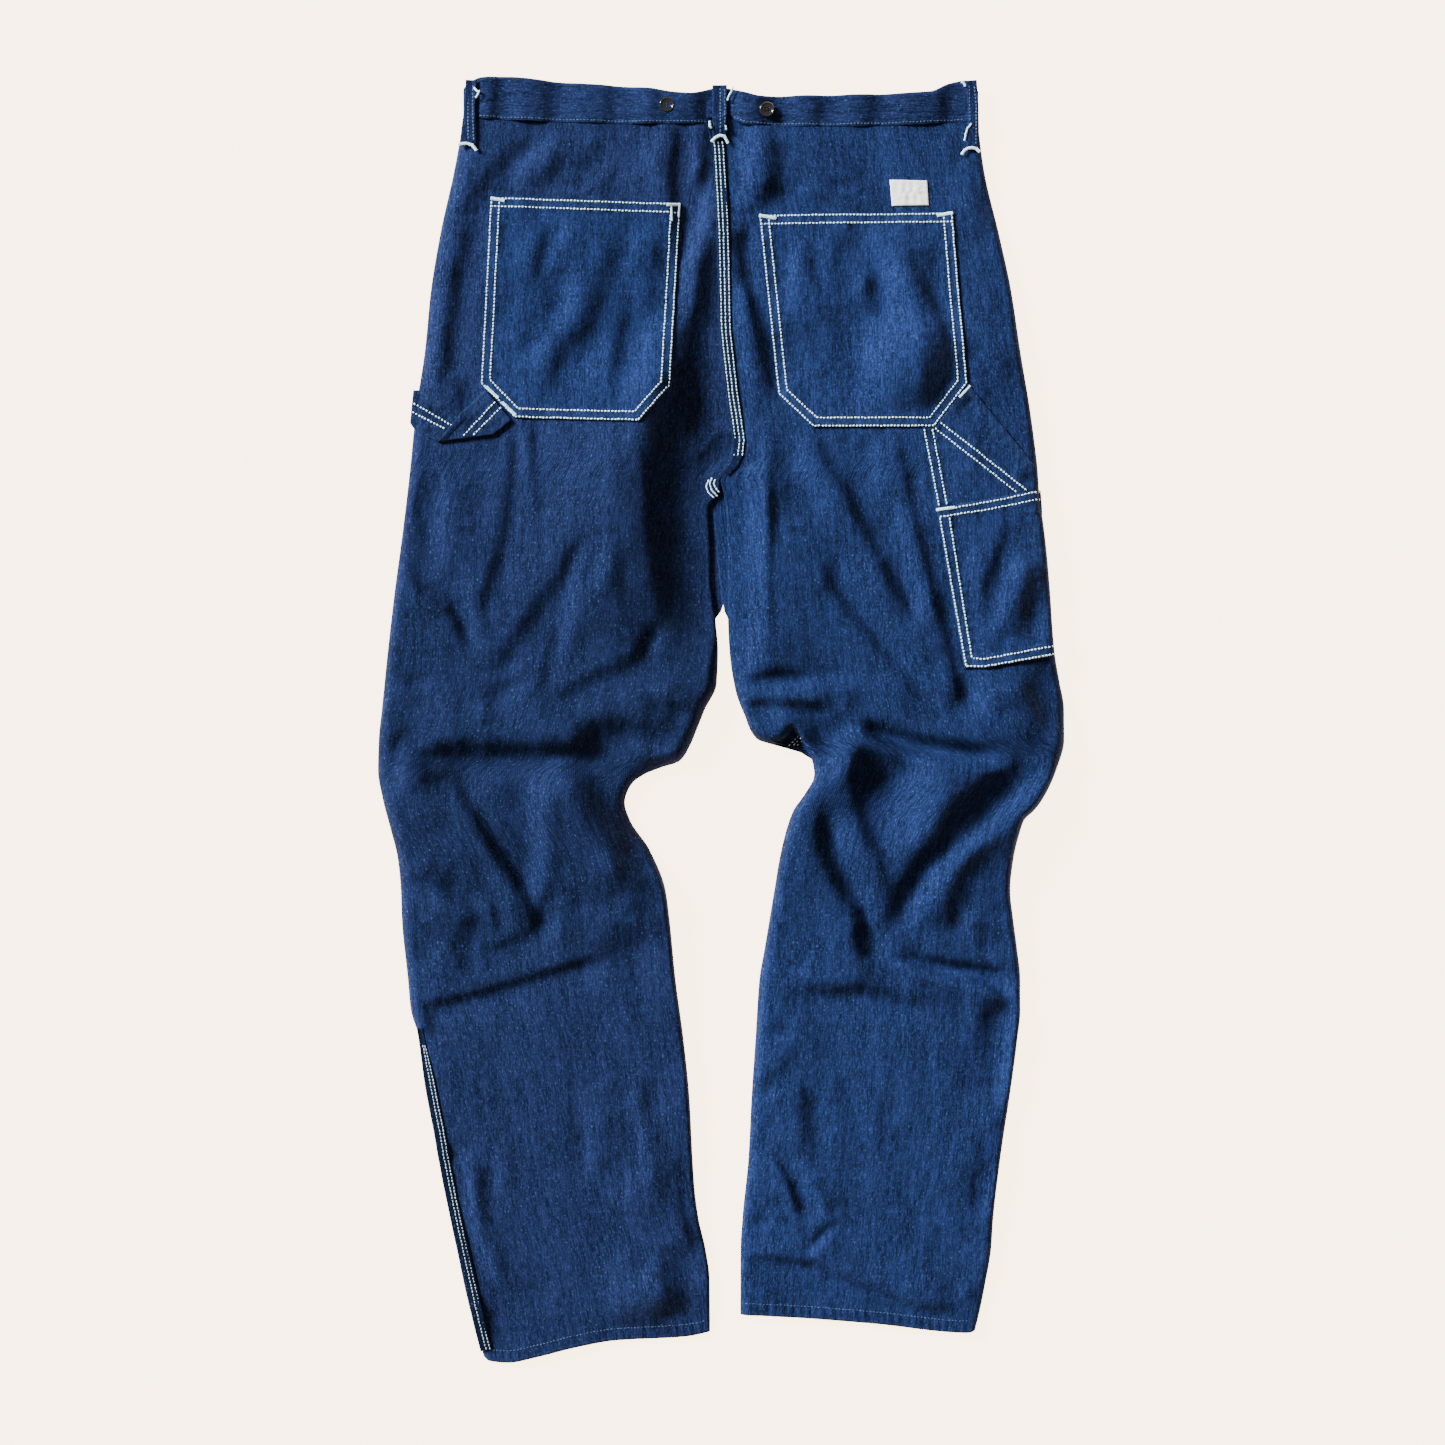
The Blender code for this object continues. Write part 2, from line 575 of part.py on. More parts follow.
def main():
    clear_scene()
    parts = make_collection("carpenter_pants")
    denim = make_material("denim", (0.016, 0.046, 0.128), 0.9)
    strap_denim = make_material("strap_denim", (0.014, 0.042, 0.115), 0.9)
    gloss_black = make_material("gloss_black", (0.01, 0.01, 0.012), 0.15)
    label_cloth = make_material("label_cloth", (0.78, 0.68, 0.66), 0.8)

    back_left, left_grid = add_back_panel(
        parts, "back_left", OUTER_LEFT, INNER_LEFT, HEM_LEFT, -1.0, denim
    )
    back_right, right_grid = add_back_panel(
        parts, "back_right", OUTER_RIGHT, INNER_RIGHT, HEM_RIGHT, 1.0, denim
    )
    add_front_panel(parts, "front_left", OUTER_LEFT, INNER_LEFT, HEM_LEFT, -1.0, denim)
    add_front_panel(parts, "front_right", OUTER_RIGHT, INNER_RIGHT, HEM_RIGHT, 1.0, denim)
    waistband = add_waistband(parts, denim)
    add_fly(parts, denim)

    on_panel = SEAM_GAP
    on_pocket = SEAM_GAP + CLOTH + SEAM_GAP
    pockets = (
        ("back_pocket_left", left_grid, BACK_POCKET_LEFT, on_panel),
        ("back_pocket_right", right_grid, BACK_POCKET_RIGHT, on_panel),
        ("tool_pocket_upper", right_grid, TOOL_POCKET_UPPER, on_panel),
        ("tool_pocket_lower", right_grid, TOOL_POCKET_LOWER, on_pocket),
    )
    for name, grid, outline, lift in pockets:
        cut_from_panel(parts, name, grid, outline, lift, CLOTH, denim)
    cut_from_panel(parts, "label", right_grid, LABEL, on_panel, 1.0, label_cloth)

    below = surface_tree((back_left, back_right, waistband))
    add_strap(parts, "hammer_loop", HAMMER_LOOP, 10, 1.5, below, strap_denim)
    belt_loops = (
        ("belt_loop_left", BELT_LOOP_LEFT),
        ("belt_loop_center", BELT_LOOP_CENTER),
        ("belt_loop_right", BELT_LOOP_RIGHT),
    )
    for name, pairs in belt_loops:
        add_strap(parts, name, pairs, 10, 1.5, below, strap_denim)

    for name, center in (
        ("suspender_button_left", SUSPENDER_BUTTON_LEFT),
        ("suspender_button_right", SUSPENDER_BUTTON_RIGHT),
    ):
        base = highest(below, center[0], center[1], 7.0) + SEAM_GAP
        add_button(parts, name, center, base, SUSPENDER_BUTTON_PROFILE, gloss_black)
    add_button(parts, "waist_button", WAIST_BUTTON, 0.0, WAIST_BUTTON_PROFILE, gloss_black)


main()
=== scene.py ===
import math
from dataclasses import dataclass

import bmesh
import bpy
import numpy as np
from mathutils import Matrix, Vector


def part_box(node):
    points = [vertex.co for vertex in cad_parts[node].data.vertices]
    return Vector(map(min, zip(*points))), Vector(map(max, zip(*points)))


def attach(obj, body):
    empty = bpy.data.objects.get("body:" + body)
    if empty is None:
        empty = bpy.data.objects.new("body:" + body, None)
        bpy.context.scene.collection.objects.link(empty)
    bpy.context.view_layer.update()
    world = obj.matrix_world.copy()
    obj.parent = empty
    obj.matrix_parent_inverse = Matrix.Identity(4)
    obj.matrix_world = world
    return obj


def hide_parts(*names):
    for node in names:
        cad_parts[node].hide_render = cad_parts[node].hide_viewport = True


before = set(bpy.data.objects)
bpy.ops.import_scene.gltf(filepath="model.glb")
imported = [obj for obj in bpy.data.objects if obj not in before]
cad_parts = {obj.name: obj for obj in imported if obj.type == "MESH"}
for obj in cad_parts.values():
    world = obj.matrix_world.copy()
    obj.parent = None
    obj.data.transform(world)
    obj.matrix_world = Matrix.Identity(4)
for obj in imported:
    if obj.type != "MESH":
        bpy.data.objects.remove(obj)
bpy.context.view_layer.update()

# Tables and sizes are in millimetres, and MM turns them into metres.
MM = 0.001

# Cloth
CLOTH = 1.2
SEAM_GAP = 0.3
BACK_BASE = CLOTH + SEAM_GAP
LOWEST_FOLD = 3.2
WAIST_SEAM_Y = 506.0
HEM_Y = -520.0
LEGS_PART_Y = 200.0
LEGS_APART = 1.2

# Outline of the legs: (y, x)
OUTER_LEFT = (
    (512, -219.7), (467, -228), (416, -239.3), (365, -247.8), (314, -252.9),
    (263, -260.5), (212, -265.6), (161, -271.6), (110, -278.4), (59, -284.3),
    (8, -289.4), (-17, -292), (-43, -292.8), (-68, -288.6), (-94, -281.8),
    (-119, -275.8), (-145, -273.3), (-170, -272.4), (-221, -267.3), (-247, -264.8),
    (-272, -257.1), (-298, -252.9), (-349, -245.2), (-400, -235.9), (-451, -225.7),
    (-502, -214.6), (-527, -207), (-541, -203), (-546, -200),
)
OUTER_RIGHT = (
    (512, 218), (467, 224), (416, 236), (365, 247), (314, 254.6),
    (263, 263.1), (238, 266.5), (212, 269.5), (187, 270.9), (161, 275),
    (110, 280), (59, 283.5), (34, 287.7), (8, 292), (-17, 292),
    (-43, 285.2), (-68, 273.3), (-79, 264.8), (-85, 258), (-94, 254.6),
    (-119, 248.6), (-145, 246), (-170, 248.6), (-196, 252), (-221, 254.6),
    (-247, 254.6), (-272, 252), (-323, 245.2), (-374, 237.6), (-425, 231.6),
    (-451, 229.9), (-476, 225.7), (-502, 220.6), (-523, 215.5),
)
SEAT_SEAM = (
    (512, 0), (487, 4.7), (417, 6.8), (330, 8.5), (272, 15.3), (248, 18.7),
    (237, 20.2), (224, 18.3), (217, 13.2), (210, 4), (203, -4.7), (187, -7.2),
    (161, -5.5), (127, -2.1), (99, 1.5),
)
INNER_LEFT = SEAT_SEAM[:9] + (
    (210, 4), (203, -1.5), (196, -1), (190, -3.5), (185, -8), (180, -10.3), (161, -9.4),
    (148, -8.8), (122, -8.7), (96, -6.1), (79, -4.2),
    (59, -2.6), (30, -3.8), (8, -14), (-7, -20), (-23, -26.8), (-36, -36),
    (-43, -58), (-56, -77), (-71, -82), (-85, -77.8), (-111, -60.8),
    (-145, -47.2), (-170, -43.8), (-221, -38.7), (-272, -31.9), (-323, -26.8),
    (-374, -24.2), (-400, -22.5), (-425, -19.1), (-451, -13.2), (-476, -9.8),
    (-523, -9.4),
)
INNER_RIGHT = SEAT_SEAM[:9] + (
    (210, 4.5), (203, -1), (195, 1), (187, 2.5), (180, 3.7), (161, 4.7), (127, 5),
    (99, 5), (83, 5.2), (59, 6.4), (25, 11.5), (4, 19.1), (-17, 30.2), (-22, 45.5),
    (-28, 66.7),
    (-33, 76.1), (-47, 78.6), (-64, 70.1), (-77, 61), (-94, 54.8), (-119, 48.9),
    (-145, 44.6), (-196, 36.1), (-221, 31.9), (-272, 28.5), (-323, 25.1),
    (-374, 22.5), (-425, 17.4), (-451, 15.9), (-507, 15.7),
)

# Lines across the garment: (x, y)
WAIST_SEAM = (
    (-222, 511.5), (-151, 508), (-64, 506), (-6, 506), (4, 512), (12, 509),
    (22, 505), (92, 503.8), (169, 505.3), (222, 509.5),
)
WAIST_TOP = (
    (-222, 531), (-219, 537), (-204, 546), (-187, 546.5), (-140, 542),
    (-64, 536.8), (-27, 532.5), (-2, 538), (20, 533), (33, 530.2),
    (92, 530.8), (177, 533.4), (194, 541), (208, 543.6), (217, 536),
    (222, 531),
)
HEM_LEFT = (
    (-204, -541), (-199, -545.3), (-181, -547), (-159, -542.7), (-125, -534.2),
    (-90, -528.3), (-30, -524.9), (-9, -520.6),
)
HEM_RIGHT = (
    (15, -506.2), (67, -508.7), (130, -513.8), (210, -521.5), (216, -519.8),
)

# Height of the cloth above the front panels: (y, height)
PUFF = (
    (512, 6.6), (480, 8.4), (400, 9.5), (300, 10.5), (200, 12), (100, 13),
    (0, 17), (-60, 17), (-120, 16), (-200, 13), (-300, 10.5), (-450, 8),
    (-500, 5.5), (-525, 4.2), (-550, 4),
)

# Tone of the denim along each leg, partly real fading (the lighter seat) and partly painted shade (the darker
# thighs and knees, where the folds lie in shade): (y, share)
TONE_AND_PAINTED_SHADE = {
    "left": (
        (512, 1.05), (400, 1.13), (260, 1.02), (120, 0.79), (20, 0.74), (-180, 0.77),
        (-250, 1), (-460, 1.02), (-520, 0.94),
    ),
    "right": (
        (512, 1.05), (400, 1.1), (260, 1.06), (120, 0.95), (20, 0.86), (-180, 0.92),
        (-250, 1.1), (-460, 1.1), (-520, 0.91),
    ),
}

# Horizontal direction towards the light
LIGHT_X = -0.85
LIGHT_Y = 0.527
LIGHT_ELEVATION = 26.0

# Tilt of a stripe of strength 1, to the light and away from it, and the steepest tilt away
TILT_TO_LIGHT = 1.6
TILT_FROM_LIGHT = 1.55
STEEPEST = 0.72
LEAST_FACING = 0.5

# Shape of a stripe: how much wider than its row says, the cloth's return to its height beside it
# (in half widths, or as a share of the stripe's length), the softness and height of its step
STRIPE_WIDER = 1.4
WIDEST_RETURN = 3.2
NARROWEST_RETURN = 2.0
RETURN_FOR_LENGTH = 0.8
RETURN_ENDS = 2.2
STEP_SOFTNESS = 1.2
STEP_HEIGHT = 0.83

# Run-out of a stripe at its ends: a length, shares of its length and half width, width at the tip
RUN_OUT = 10.0
RUN_OUT_FOR_LENGTH = 0.08
RUN_OUT_FOR_WIDTH = 0.9
TIP_WIDTH = 0.6

# Stripes of cloth that tilt to the light (strength > 0) or away from it (strength < 0):
# strength, half width, points (x, y) along the stripe
FACETS = (
    # Seat, wearer's left
    (0.4, 7, ((-134, 504), (-150, 488), (-168, 470), (-181, 454))),
    (-0.35, 7, ((-156, 503), (-174, 484), (-196, 462), (-214, 438), (-234, 414))),
    (-0.28, 7, ((-126, 486), (-142, 468), (-158, 453), (-174, 446))),
    (-0.25, 5, ((-105, 502), (-106, 486), (-116, 474), (-122, 464))),
    (0.35, 5, ((-102, 476), (-108, 460), (-113, 444))),
    (-0.2, 5, ((-94, 478), (-91, 466), (-90, 452))),
    (0.2, 8, ((-60, 502), (-66, 480), (-72, 458))),
    (-0.65, 5, ((-38, 516), (-39, 490), (-42, 465), (-40, 440), (-37, 410), (-38, 376))),
    (0.35, 4, ((-36, 500), (-26, 490), (-22, 476), (-25, 460), (-26, 446))),
    (-0.6, 5, ((-13, 520), (-11, 495), (-15, 466), (-23, 444))),
    (0.65, 6, ((-8, 470), (-14, 440), (-21, 415), (-27, 385), (-30, 355), (-33, 326))),
    (-0.75, 11, ((-8, 420), (-19, 370), (-27, 320), (-33, 270), (-36, 235))),
    (-0.8, 23, ((-26, 320), (-36, 260), (-43, 210), (-45, 150), (-41, 95), (-36, 40))),
    (-0.45, 9, ((-40, 310), (-52, 250), (-58, 200), (-56, 140), (-46, 80))),
    (-0.25, 12, ((-66, 250), (-82, 200), (-88, 150), (-86, 100), (-74, 50))),
    (-0.35, 10, ((-130, -3), (-80, -5), (-26, -14))),
    (0.35, 5, ((0, 310), (-3, 270), (-5, 250), (-16, 230))),
    (-1, 7, ((-28, 202), (-14, 217), (0, 227), (14, 235), (26, 241))),
    (-0.6, 4, ((24, 268), (29, 245), (27, 226))),
    (-0.45, 6, ((-208, 440), (-217, 405), (-226, 372), (-229, 340), (-234, 300), (-239, 268))),
    (-0.6, 6, ((-224, 300), (-222, 280), (-218, 256))),
    # Left back pocket
    (-0.2, 4, ((-185, 432), (-186, 400), (-182, 378))),
    (0.2, 8, ((-164, 428), (-168, 400), (-170, 376))),
    (-0.35, 4, ((-147, 424), (-153, 395), (-160, 366))),
    (0.45, 5, ((-137, 428), (-136, 410), (-144, 390), (-150, 374))),
    (-0.2, 5, ((-142, 364), (-146, 342))),
    (0.45, 8, ((-122, 392), (-128, 365), (-134, 345), (-142, 330), (-152, 312), (-162, 294))),
    (0.25, 6, ((-166, 366), (-174, 350), (-180, 335), (-190, 316))),
    (-0.35, 4, ((-164, 336), (-168, 318), (-172, 302))),
    (-0.32, 8, ((-84, 414), (-93, 395), (-99, 380), (-103, 360), (-112, 335), (-130, 318),
      (-138, 300), (-143, 284), (-152, 264))),
    (-0.3, 6, ((-76, 358), (-84, 330), (-90, 300), (-92, 275), (-94, 258))),
    (0.25, 8, ((-98, 332), (-108, 300), (-113, 276))),
    (0.3, 5, ((-71, 424), (-73, 400), (-79, 376))),
    (0.4, 9, ((-48, 358), (-56, 335), (-66, 315), (-68, 290), (-71, 266))),
    (-0.25, 4, ((-51, 416), (-53, 390), (-51, 368))),
    # Seat, wearer's right
    (0.8, 9, ((22, 514), (21, 490), (20, 465), (23, 430))),
    (-0.26, 6, ((40, 516), (44, 490), (47, 470), (42, 448), (32, 428))),
    (-0.4, 7, ((22, 424), (14, 405), (13, 386))),
    (0.5, 4.5, ((28, 424), (27, 400), (29, 380), (34, 356))),
    (-0.85, 6, ((13, 412), (20, 376), (26, 350), (33, 325), (39, 300), (46, 266))),
    (0.4, 5, ((12, 380), (16, 340), (18, 310), (21, 285), (26, 252))),
    (-0.35, 5, ((194, 504), (198, 480), (201, 462))),
    (-0.35, 6, ((210, 456), (220, 435), (232, 408))),
    (0.2, 5, ((69, 462), (66, 434))),
    (0.15, 5, ((79, 478), (81, 444))),
    (-0.15, 4, ((91, 462), (96, 440))),
    (0.25, 7, ((222, 330), (228, 306), (238, 284))),
    (-0.15, 4, ((230, 372), (236, 330))),
    # Right back pocket
    (0.4, 5, ((63, 410), (60, 385), (59, 368), (66, 340))),
    (-0.3, 4, ((75, 416), (74, 395), (77, 378), (86, 358))),
    (-0.2, 5, ((95, 420), (100, 400), (96, 376))),
    (0.4, 8, ((118, 426), (126, 405), (135, 390), (145, 370), (155, 350), (161, 328))),
    (0.25, 5, ((113, 384), (119, 358))),
    (-0.15, 5, ((124, 396), (128, 375), (127, 360), (134, 340), (144, 322))),
    (-0.3, 6, ((152, 396), (168, 374), (180, 352), (188, 330), (192, 306), (190, 284))),
    (0.55, 26, ((122, 358), (126, 310), (128, 250))),
    (0.22, 6, ((83, 348), (86, 310), (89, 258))),
    (-0.18, 5, ((104, 336), (107, 300), (112, 262))),
    (0.22, 7, ((124, 340), (128, 310), (132, 258))),
    (-0.12, 3, ((143, 312), (141, 270))),
    (0.25, 7, ((164, 360), (163, 330), (159, 262))),
    (-0.16, 8, ((176, 340), (178, 310), (176, 276), (172, 250))),
    (-0.5, 5, ((60, 326), (66, 296), (74, 262))),
    (-0.35, 3, ((198, 296), (184, 278))),
    (-0.4, 4, ((214, 278), (202, 262))),
    # Left thigh
    (-0.5, 5, ((-178, 258), (-176, 235), (-177, 215), (-180, 195), (-183, 175), (-187, 150),
      (-192, 130), (-198, 110), (-207, 80))),
    (0.3, 4, ((-167, 254), (-168, 225), (-168, 200))),
    (-0.35, 4, ((-160, 258), (-161, 230), (-160, 205), (-156, 185), (-150, 158))),
    (0.3, 5, ((-143, 186), (-151, 160))),
    (0.3, 7, ((-241, 218), (-236, 190), (-238, 165), (-240, 140), (-245, 114))),
    (-0.25, 5, ((-259, 206), (-258, 175), (-248, 148))),
    (-0.5, 5, ((-273, 136), (-262, 120), (-252, 108), (-242, 102), (-232, 96), (-224, 82), (-218, 66),
      (-215, 50))),
    (0.35, 5, ((-234, 114), (-220, 100), (-214, 85), (-206, 60))),
    (0.25, 7, ((-168, 146), (-176, 120), (-184, 104))),
    (0.25, 6, ((-174, 98), (-180, 84))),
    (-0.5, 7, ((-114, 166), (-124, 145), (-134, 125), (-146, 108), (-158, 92), (-170, 75), (-180, 60),
      (-188, 46), (-198, 32))),
    (0.55, 5, ((-112, 156), (-120, 135), (-124, 120), (-128, 100), (-132, 80), (-134, 62), (-137, 44))),
    (0.4, 6, ((-89, 166), (-98, 145), (-103, 125), (-107, 100))),
    (-0.2, 3, ((-102, 156), (-114, 125), (-117, 104))),
    (-0.12, 4, ((-84, 146), (-90, 115), (-98, 92))),
    (-0.4, 4, ((-138, 88), (-144, 65), (-148, 50), (-150, 35), (-156, 16))),
    (0.25, 6, ((-160, 54), (-172, 45), (-188, 36))),
    (-0.22, 4, ((-158, 40), (-176, 33), (-188, 28), (-206, 28))),
    (0.2, 5, ((-154, 40), (-172, 24), (-190, 10))),
    (-0.18, 5, ((-270, 42), (-264, 28), (-252, 16))),
    (0.12, 5, ((-256, 46), (-246, 28))),
    (-0.65, 6, ((-50, 92), (-62, 74), (-70, 56), (-80, 46), (-100, 40), (-118, 31), (-134, 23),
      (-150, 14))),
    (0.35, 5, ((-42, 78), (-54, 65), (-63, 50))),
    (0.4, 3, ((-20, 204), (-14, 178), (-11, 155), (-10, 130), (-10, 110), (-7, 85), (-2, 50))),
    (-0.45, 5, ((-66, 26), (-46, 14), (-18, 4))),
    (-0.2, 6, ((-206, 18), (-188, 2))),
    # Right thigh
    (0.6, 10, ((24, 226), (26, 160), (27, 120), (28, 80), (30, 32))),
    (-0.5, 2.5, ((41, 216), (42, 170), (42, 110), (41, 50))),
    (0.4, 5, ((14, 216), (40, 209))),
    (-0.4, 4, ((41, 232), (42, 190), (43, 165), (46, 150), (56, 132))),
    (-0.35, 8, ((38, 262), (46, 230), (53, 205), (56, 168))),
    (0.15, 7, ((58, 246), (66, 225), (74, 205), (84, 185), (92, 158))),
    (-0.45, 6, ((74, 254), (84, 230), (94, 212), (104, 198), (112, 182), (118, 168), (128, 150),
      (136, 135), (146, 115), (156, 98), (166, 74))),
    (0.4, 6, ((130, 246), (130, 220), (131, 205), (127, 182))),
    (0.4, 7, ((147, 186), (154, 160), (160, 145), (164, 125), (168, 105), (176, 78))),
    (-0.35, 4, ((150, 246), (155, 212), (160, 186), (166, 156))),
    (-0.75, 5, ((161, 182), (169, 148), (176, 120), (184, 95), (190, 75), (195, 52), (200, 30), (207, 2))),
    (0.2, 3, ((168, 216), (168, 188))),
    (-0.32, 5, ((78, 142), (92, 118), (100, 105), (112, 90), (124, 75), (134, 60), (146, 45),
      (158, 32), (166, 20), (176, 6))),
    (0.25, 8, ((94, 136), (106, 115), (120, 100), (132, 85), (144, 70), (160, 55), (170, 34))),
    (-0.5, 5, ((10, 33), (36, 38), (50, 40), (84, 37))),
    (0.3, 6, ((36, 27), (70, 28), (100, 30), (124, 34))),
    (-0.6, 5, ((10, 14), (40, 15), (60, 14), (100, 10))),
    (0.3, 5, ((194, 24), (176, 8))),
    (0.3, 8, ((206, 44), (216, 30), (222, 20), (230, -2))),
    (-0.55, 12, ((250, 52), (266, 15), (280, -26))),
    (0.2, 5, ((214, 158), (210, 120), (213, 82))),
    (-0.35, 5, ((244, 178), (238, 150), (230, 130), (224, 115), (219, 92))),
    (0.5, 6, ((260, 148), (246, 120), (240, 105), (234, 85), (226, 62))),
    (-0.6, 10, ((278, 146), (264, 112), (256, 90), (250, 62))),
    (-0.4, 5, ((266, 212), (250, 200))),
    # Left knee
    (-0.45, 4, ((-258, -4), (-270, -10), (-277, -18), (-283, -28))),
    (0.5, 6, ((-266, -18), (-272, -35), (-273, -50), (-269, -70))),
    (-0.3, 4, ((-262, -23), (-245, -28), (-230, -31))),
    (-0.75, 8.5, ((-258, -22), (-224, -24), (-190, -25), (-160, -25), (-130, -24), (-98, -27))),
    (-0.2, 8, ((-252, -34), (-246, -54), (-236, -68), (-222, -88))),
    (-0.8, 5.5, ((-232, -42), (-221, -62), (-210, -80), (-202, -93), (-194, -108), (-184, -122),
      (-174, -136), (-167, -148), (-162, -160), (-156, -176))),
    (0.75, 7, ((-162, -44), (-158, -64), (-155, -85), (-155, -110), (-157, -132), (-161, -160))),
    (0.25, 4, ((-164, -54), (-148, -42), (-130, -33), (-118, -28))),
    (-0.55, 5, ((-147, -134), (-151, -155), (-155, -168), (-160, -178), (-172, -185), (-188, -191),
      (-210, -195))),
    (0.5, 6, ((-138, -158), (-144, -178), (-152, -196))),
    (-0.45, 4, ((-204, -142), (-193, -160), (-190, -172), (-193, -188))),
    (0.3, 5, ((-200, -132), (-188, -152), (-182, -166), (-180, -184))),
    (0.45, 6, ((-248, -138), (-228, -152), (-212, -160), (-198, -168))),
    (0.2, 6, ((-268, -126), (-246, -140))),
    (-0.2, 4, ((-216, -114), (-205, -135), (-198, -148))),
    (-0.35, 4, ((-232, -182), (-226, -196), (-219, -207), (-214, -220))),
    (0.25, 8, ((-247, -184), (-244, -205), (-249, -226))),
    (-0.7, 5, ((-266, -245), (-235, -239), (-215, -234), (-195, -229), (-175, -223), (-155, -217),
      (-130, -209), (-90, -198))),
    (-0.35, 14, ((-110, -196), (-80, -184), (-50, -172))),
    (0.3, 6, ((-126, -166), (-104, -156))),
    (0.2, 5, ((-92, -144), (-84, -172))),
    (-0.62, 11, ((-142, -26), (-117, -54), (-100, -80), (-84, -104), (-58, -138))),
    (-0.35, 5, ((-98, -102), (-90, -118), (-78, -128), (-64, -134), (-52, -142))),
    (-0.2, 5, ((-52, -158), (-52, -196))),
    (-0.45, 5, ((-84, -34), (-60, -36), (-30, -30))),
    # Right knee
    (-0.6, 6, ((38, -18), (52, -14), (60, -10), (66, -20), (72, -30))),
    (0.9, 9, ((88, -62), (94, -42), (102, -24), (112, -6), (118, 6))),
    (0.8, 4, ((112, -4), (132, -16), (150, -24), (170, -30), (195, -34), (215, -37), (244, -44))),
    (-0.4, 5, ((112, 4), (140, -8), (170, -16), (200, -21), (240, -26))),
    (-1, 7, ((122, 2), (116, -25), (114, -50), (117, -75), (124, -96), (133, -118), (141, -146))),
    (0.8, 16, ((168, -20), (165, -50), (160, -80), (150, -126))),
    (-0.68, 8, ((262, -26), (246, -42), (228, -52), (210, -64), (196, -78), (184, -94), (174, -110),
      (164, -126), (154, -144), (146, -160), (140, -172), (135, -188))),
    (0.9, 7, ((288, -38), (268, -52), (252, -68), (232, -86), (214, -102), (198, -116), (184, -132),
      (172, -148), (164, -162), (153, -184))),
    (-0.5, 7, ((242, -102), (222, -110), (210, -118), (202, -130), (198, -145), (195, -160), (194, -182))),
    (0.45, 5, ((208, -156), (208, -175), (203, -194))),
    (-0.3, 5, ((221, -154), (226, -180))),
    (-0.2, 3, ((215, -180), (219, -206))),
    (-0.8, 7, ((84, -60), (84, -95), (86, -110), (92, -125), (98, -138), (106, -150), (116, -160),
      (120, -172), (116, -185), (122, -200), (135, -208), (152, -213))),
    (0.4, 6, ((93, -78), (102, -105), (108, -120), (114, -135), (122, -150), (127, -165), (128, -188))),
    (0.25, 6, ((118, -108), (128, -130), (134, -156))),
    (0.2, 5, ((71, -200), (67, -220))),
    (-0.2, 3, ((80, -204), (73, -222))),
    (-0.35, 6, ((52, -220), (70, -228), (95, -230), (120, -228), (140, -232), (165, -240), (188, -248))),
    (0.8, 4, ((144, -202), (172, -212), (190, -217), (210, -221), (228, -228), (250, -244))),
    (-0.45, 4, ((160, -199), (195, -207), (215, -209), (235, -212), (252, -224))),
    (-0.2, 6, ((221, -222), (224, -245), (222, -265), (227, -286))),
    # Left calf
    (0.4, 5, ((-224, -366), (-216, -385), (-214, -405), (-210, -430), (-204, -450), (-196, -468),
      (-192, -480), (-175, -500), (-168, -515), (-164, -534))),
    (-0.3, 5, ((-197, -366), (-202, -385), (-206, -400), (-202, -415), (-194, -434))),
    (-0.25, 4, ((-191, -446), (-185, -462), (-189, -480))),
    (-0.35, 5, ((-234, -354), (-227, -380))),
    (-0.45, 9, ((-206, -474), (-198, -500), (-194, -520), (-189, -546))),
    (0.25, 4, ((-188, -350), (-188, -380), (-191, -404))),
    (0.3, 5, ((-116, -328), (-112, -350), (-112, -370), (-106, -392))),
    (0.2, 6, ((-104, -300), (-104, -322))),
    (-0.2, 4, ((-130, -280), (-128, -310), (-126, -346))),
    (0.3, 5, ((-79, -292), (-74, -325), (-70, -350), (-64, -375), (-59, -396))),
    (-0.25, 5, ((-69, -312), (-65, -346))),
    (-0.35, 12, ((-54, -372), (-48, -400), (-42, -430))),
    (-0.5, 5, ((-38, -392), (-32, -420), (-26, -440), (-18, -460))),
    (0.25, 4, ((-53, -294), (-50, -320), (-47, -346))),
    (-0.3, 14, ((-120, -508), (-60, -514), (-34, -498), (-14, -476))),
    (-0.25, 12, ((-60, -450), (-40, -474), (-24, -500))),
    (0.25, 5, ((-62, -454), (-60, -476))),
    (-0.3, 5, ((-252, -240), (-246, -265), (-249, -276))),
    # Right calf
    (-0.2, 4, ((60, -247), (44, -262), (34, -273))),
    (-0.25, 5, ((69, -270), (56, -290), (44, -300), (36, -320))),
    (0.2, 5, ((60, -262), (46, -282))),
    (0.3, 4, ((47, -306), (41, -330))),
    (0.2, 4, ((84, -298), (85, -330), (88, -355), (91, -382))),
    (-0.25, 6, ((71, -302), (72, -340), (75, -372))),
    (-0.2, 4, ((137, -312), (135, -345), (136, -376))),
    (0.2, 4, ((144, -350), (156, -320))),
    (-0.18, 6, ((215, -342), (219, -370), (215, -395), (211, -428))),
    (-0.3, 5, ((236, -334), (233, -356))),
    (0.45, 6, ((232, -372), (228, -400), (225, -432))),
    (0.6, 7, ((248, -232), (246, -262), (241, -300), (238, -334))),
    (-0.5, 3.5, ((39, -360), (50, -378), (57, -392), (62, -405), (70, -420))),
    (0.5, 4.5, ((63, -384), (74, -398), (82, -410), (90, -426))),
    (0.35, 4, ((48, -396), (56, -412), (64, -424))),
    (0.3, 5, ((38, -414), (45, -432))),
    (-0.35, 3, ((116, -432), (100, -426), (90, -430), (80, -440), (69, -453))),
    (0.5, 3.5, ((102, -428), (88, -442), (78, -452), (66, -458))),
    (-0.5, 4.5, ((16, -455), (40, -457), (60, -460), (80, -462), (92, -470), (110, -478), (130, -485),
      (150, -493), (168, -499), (190, -501), (210, -500))),
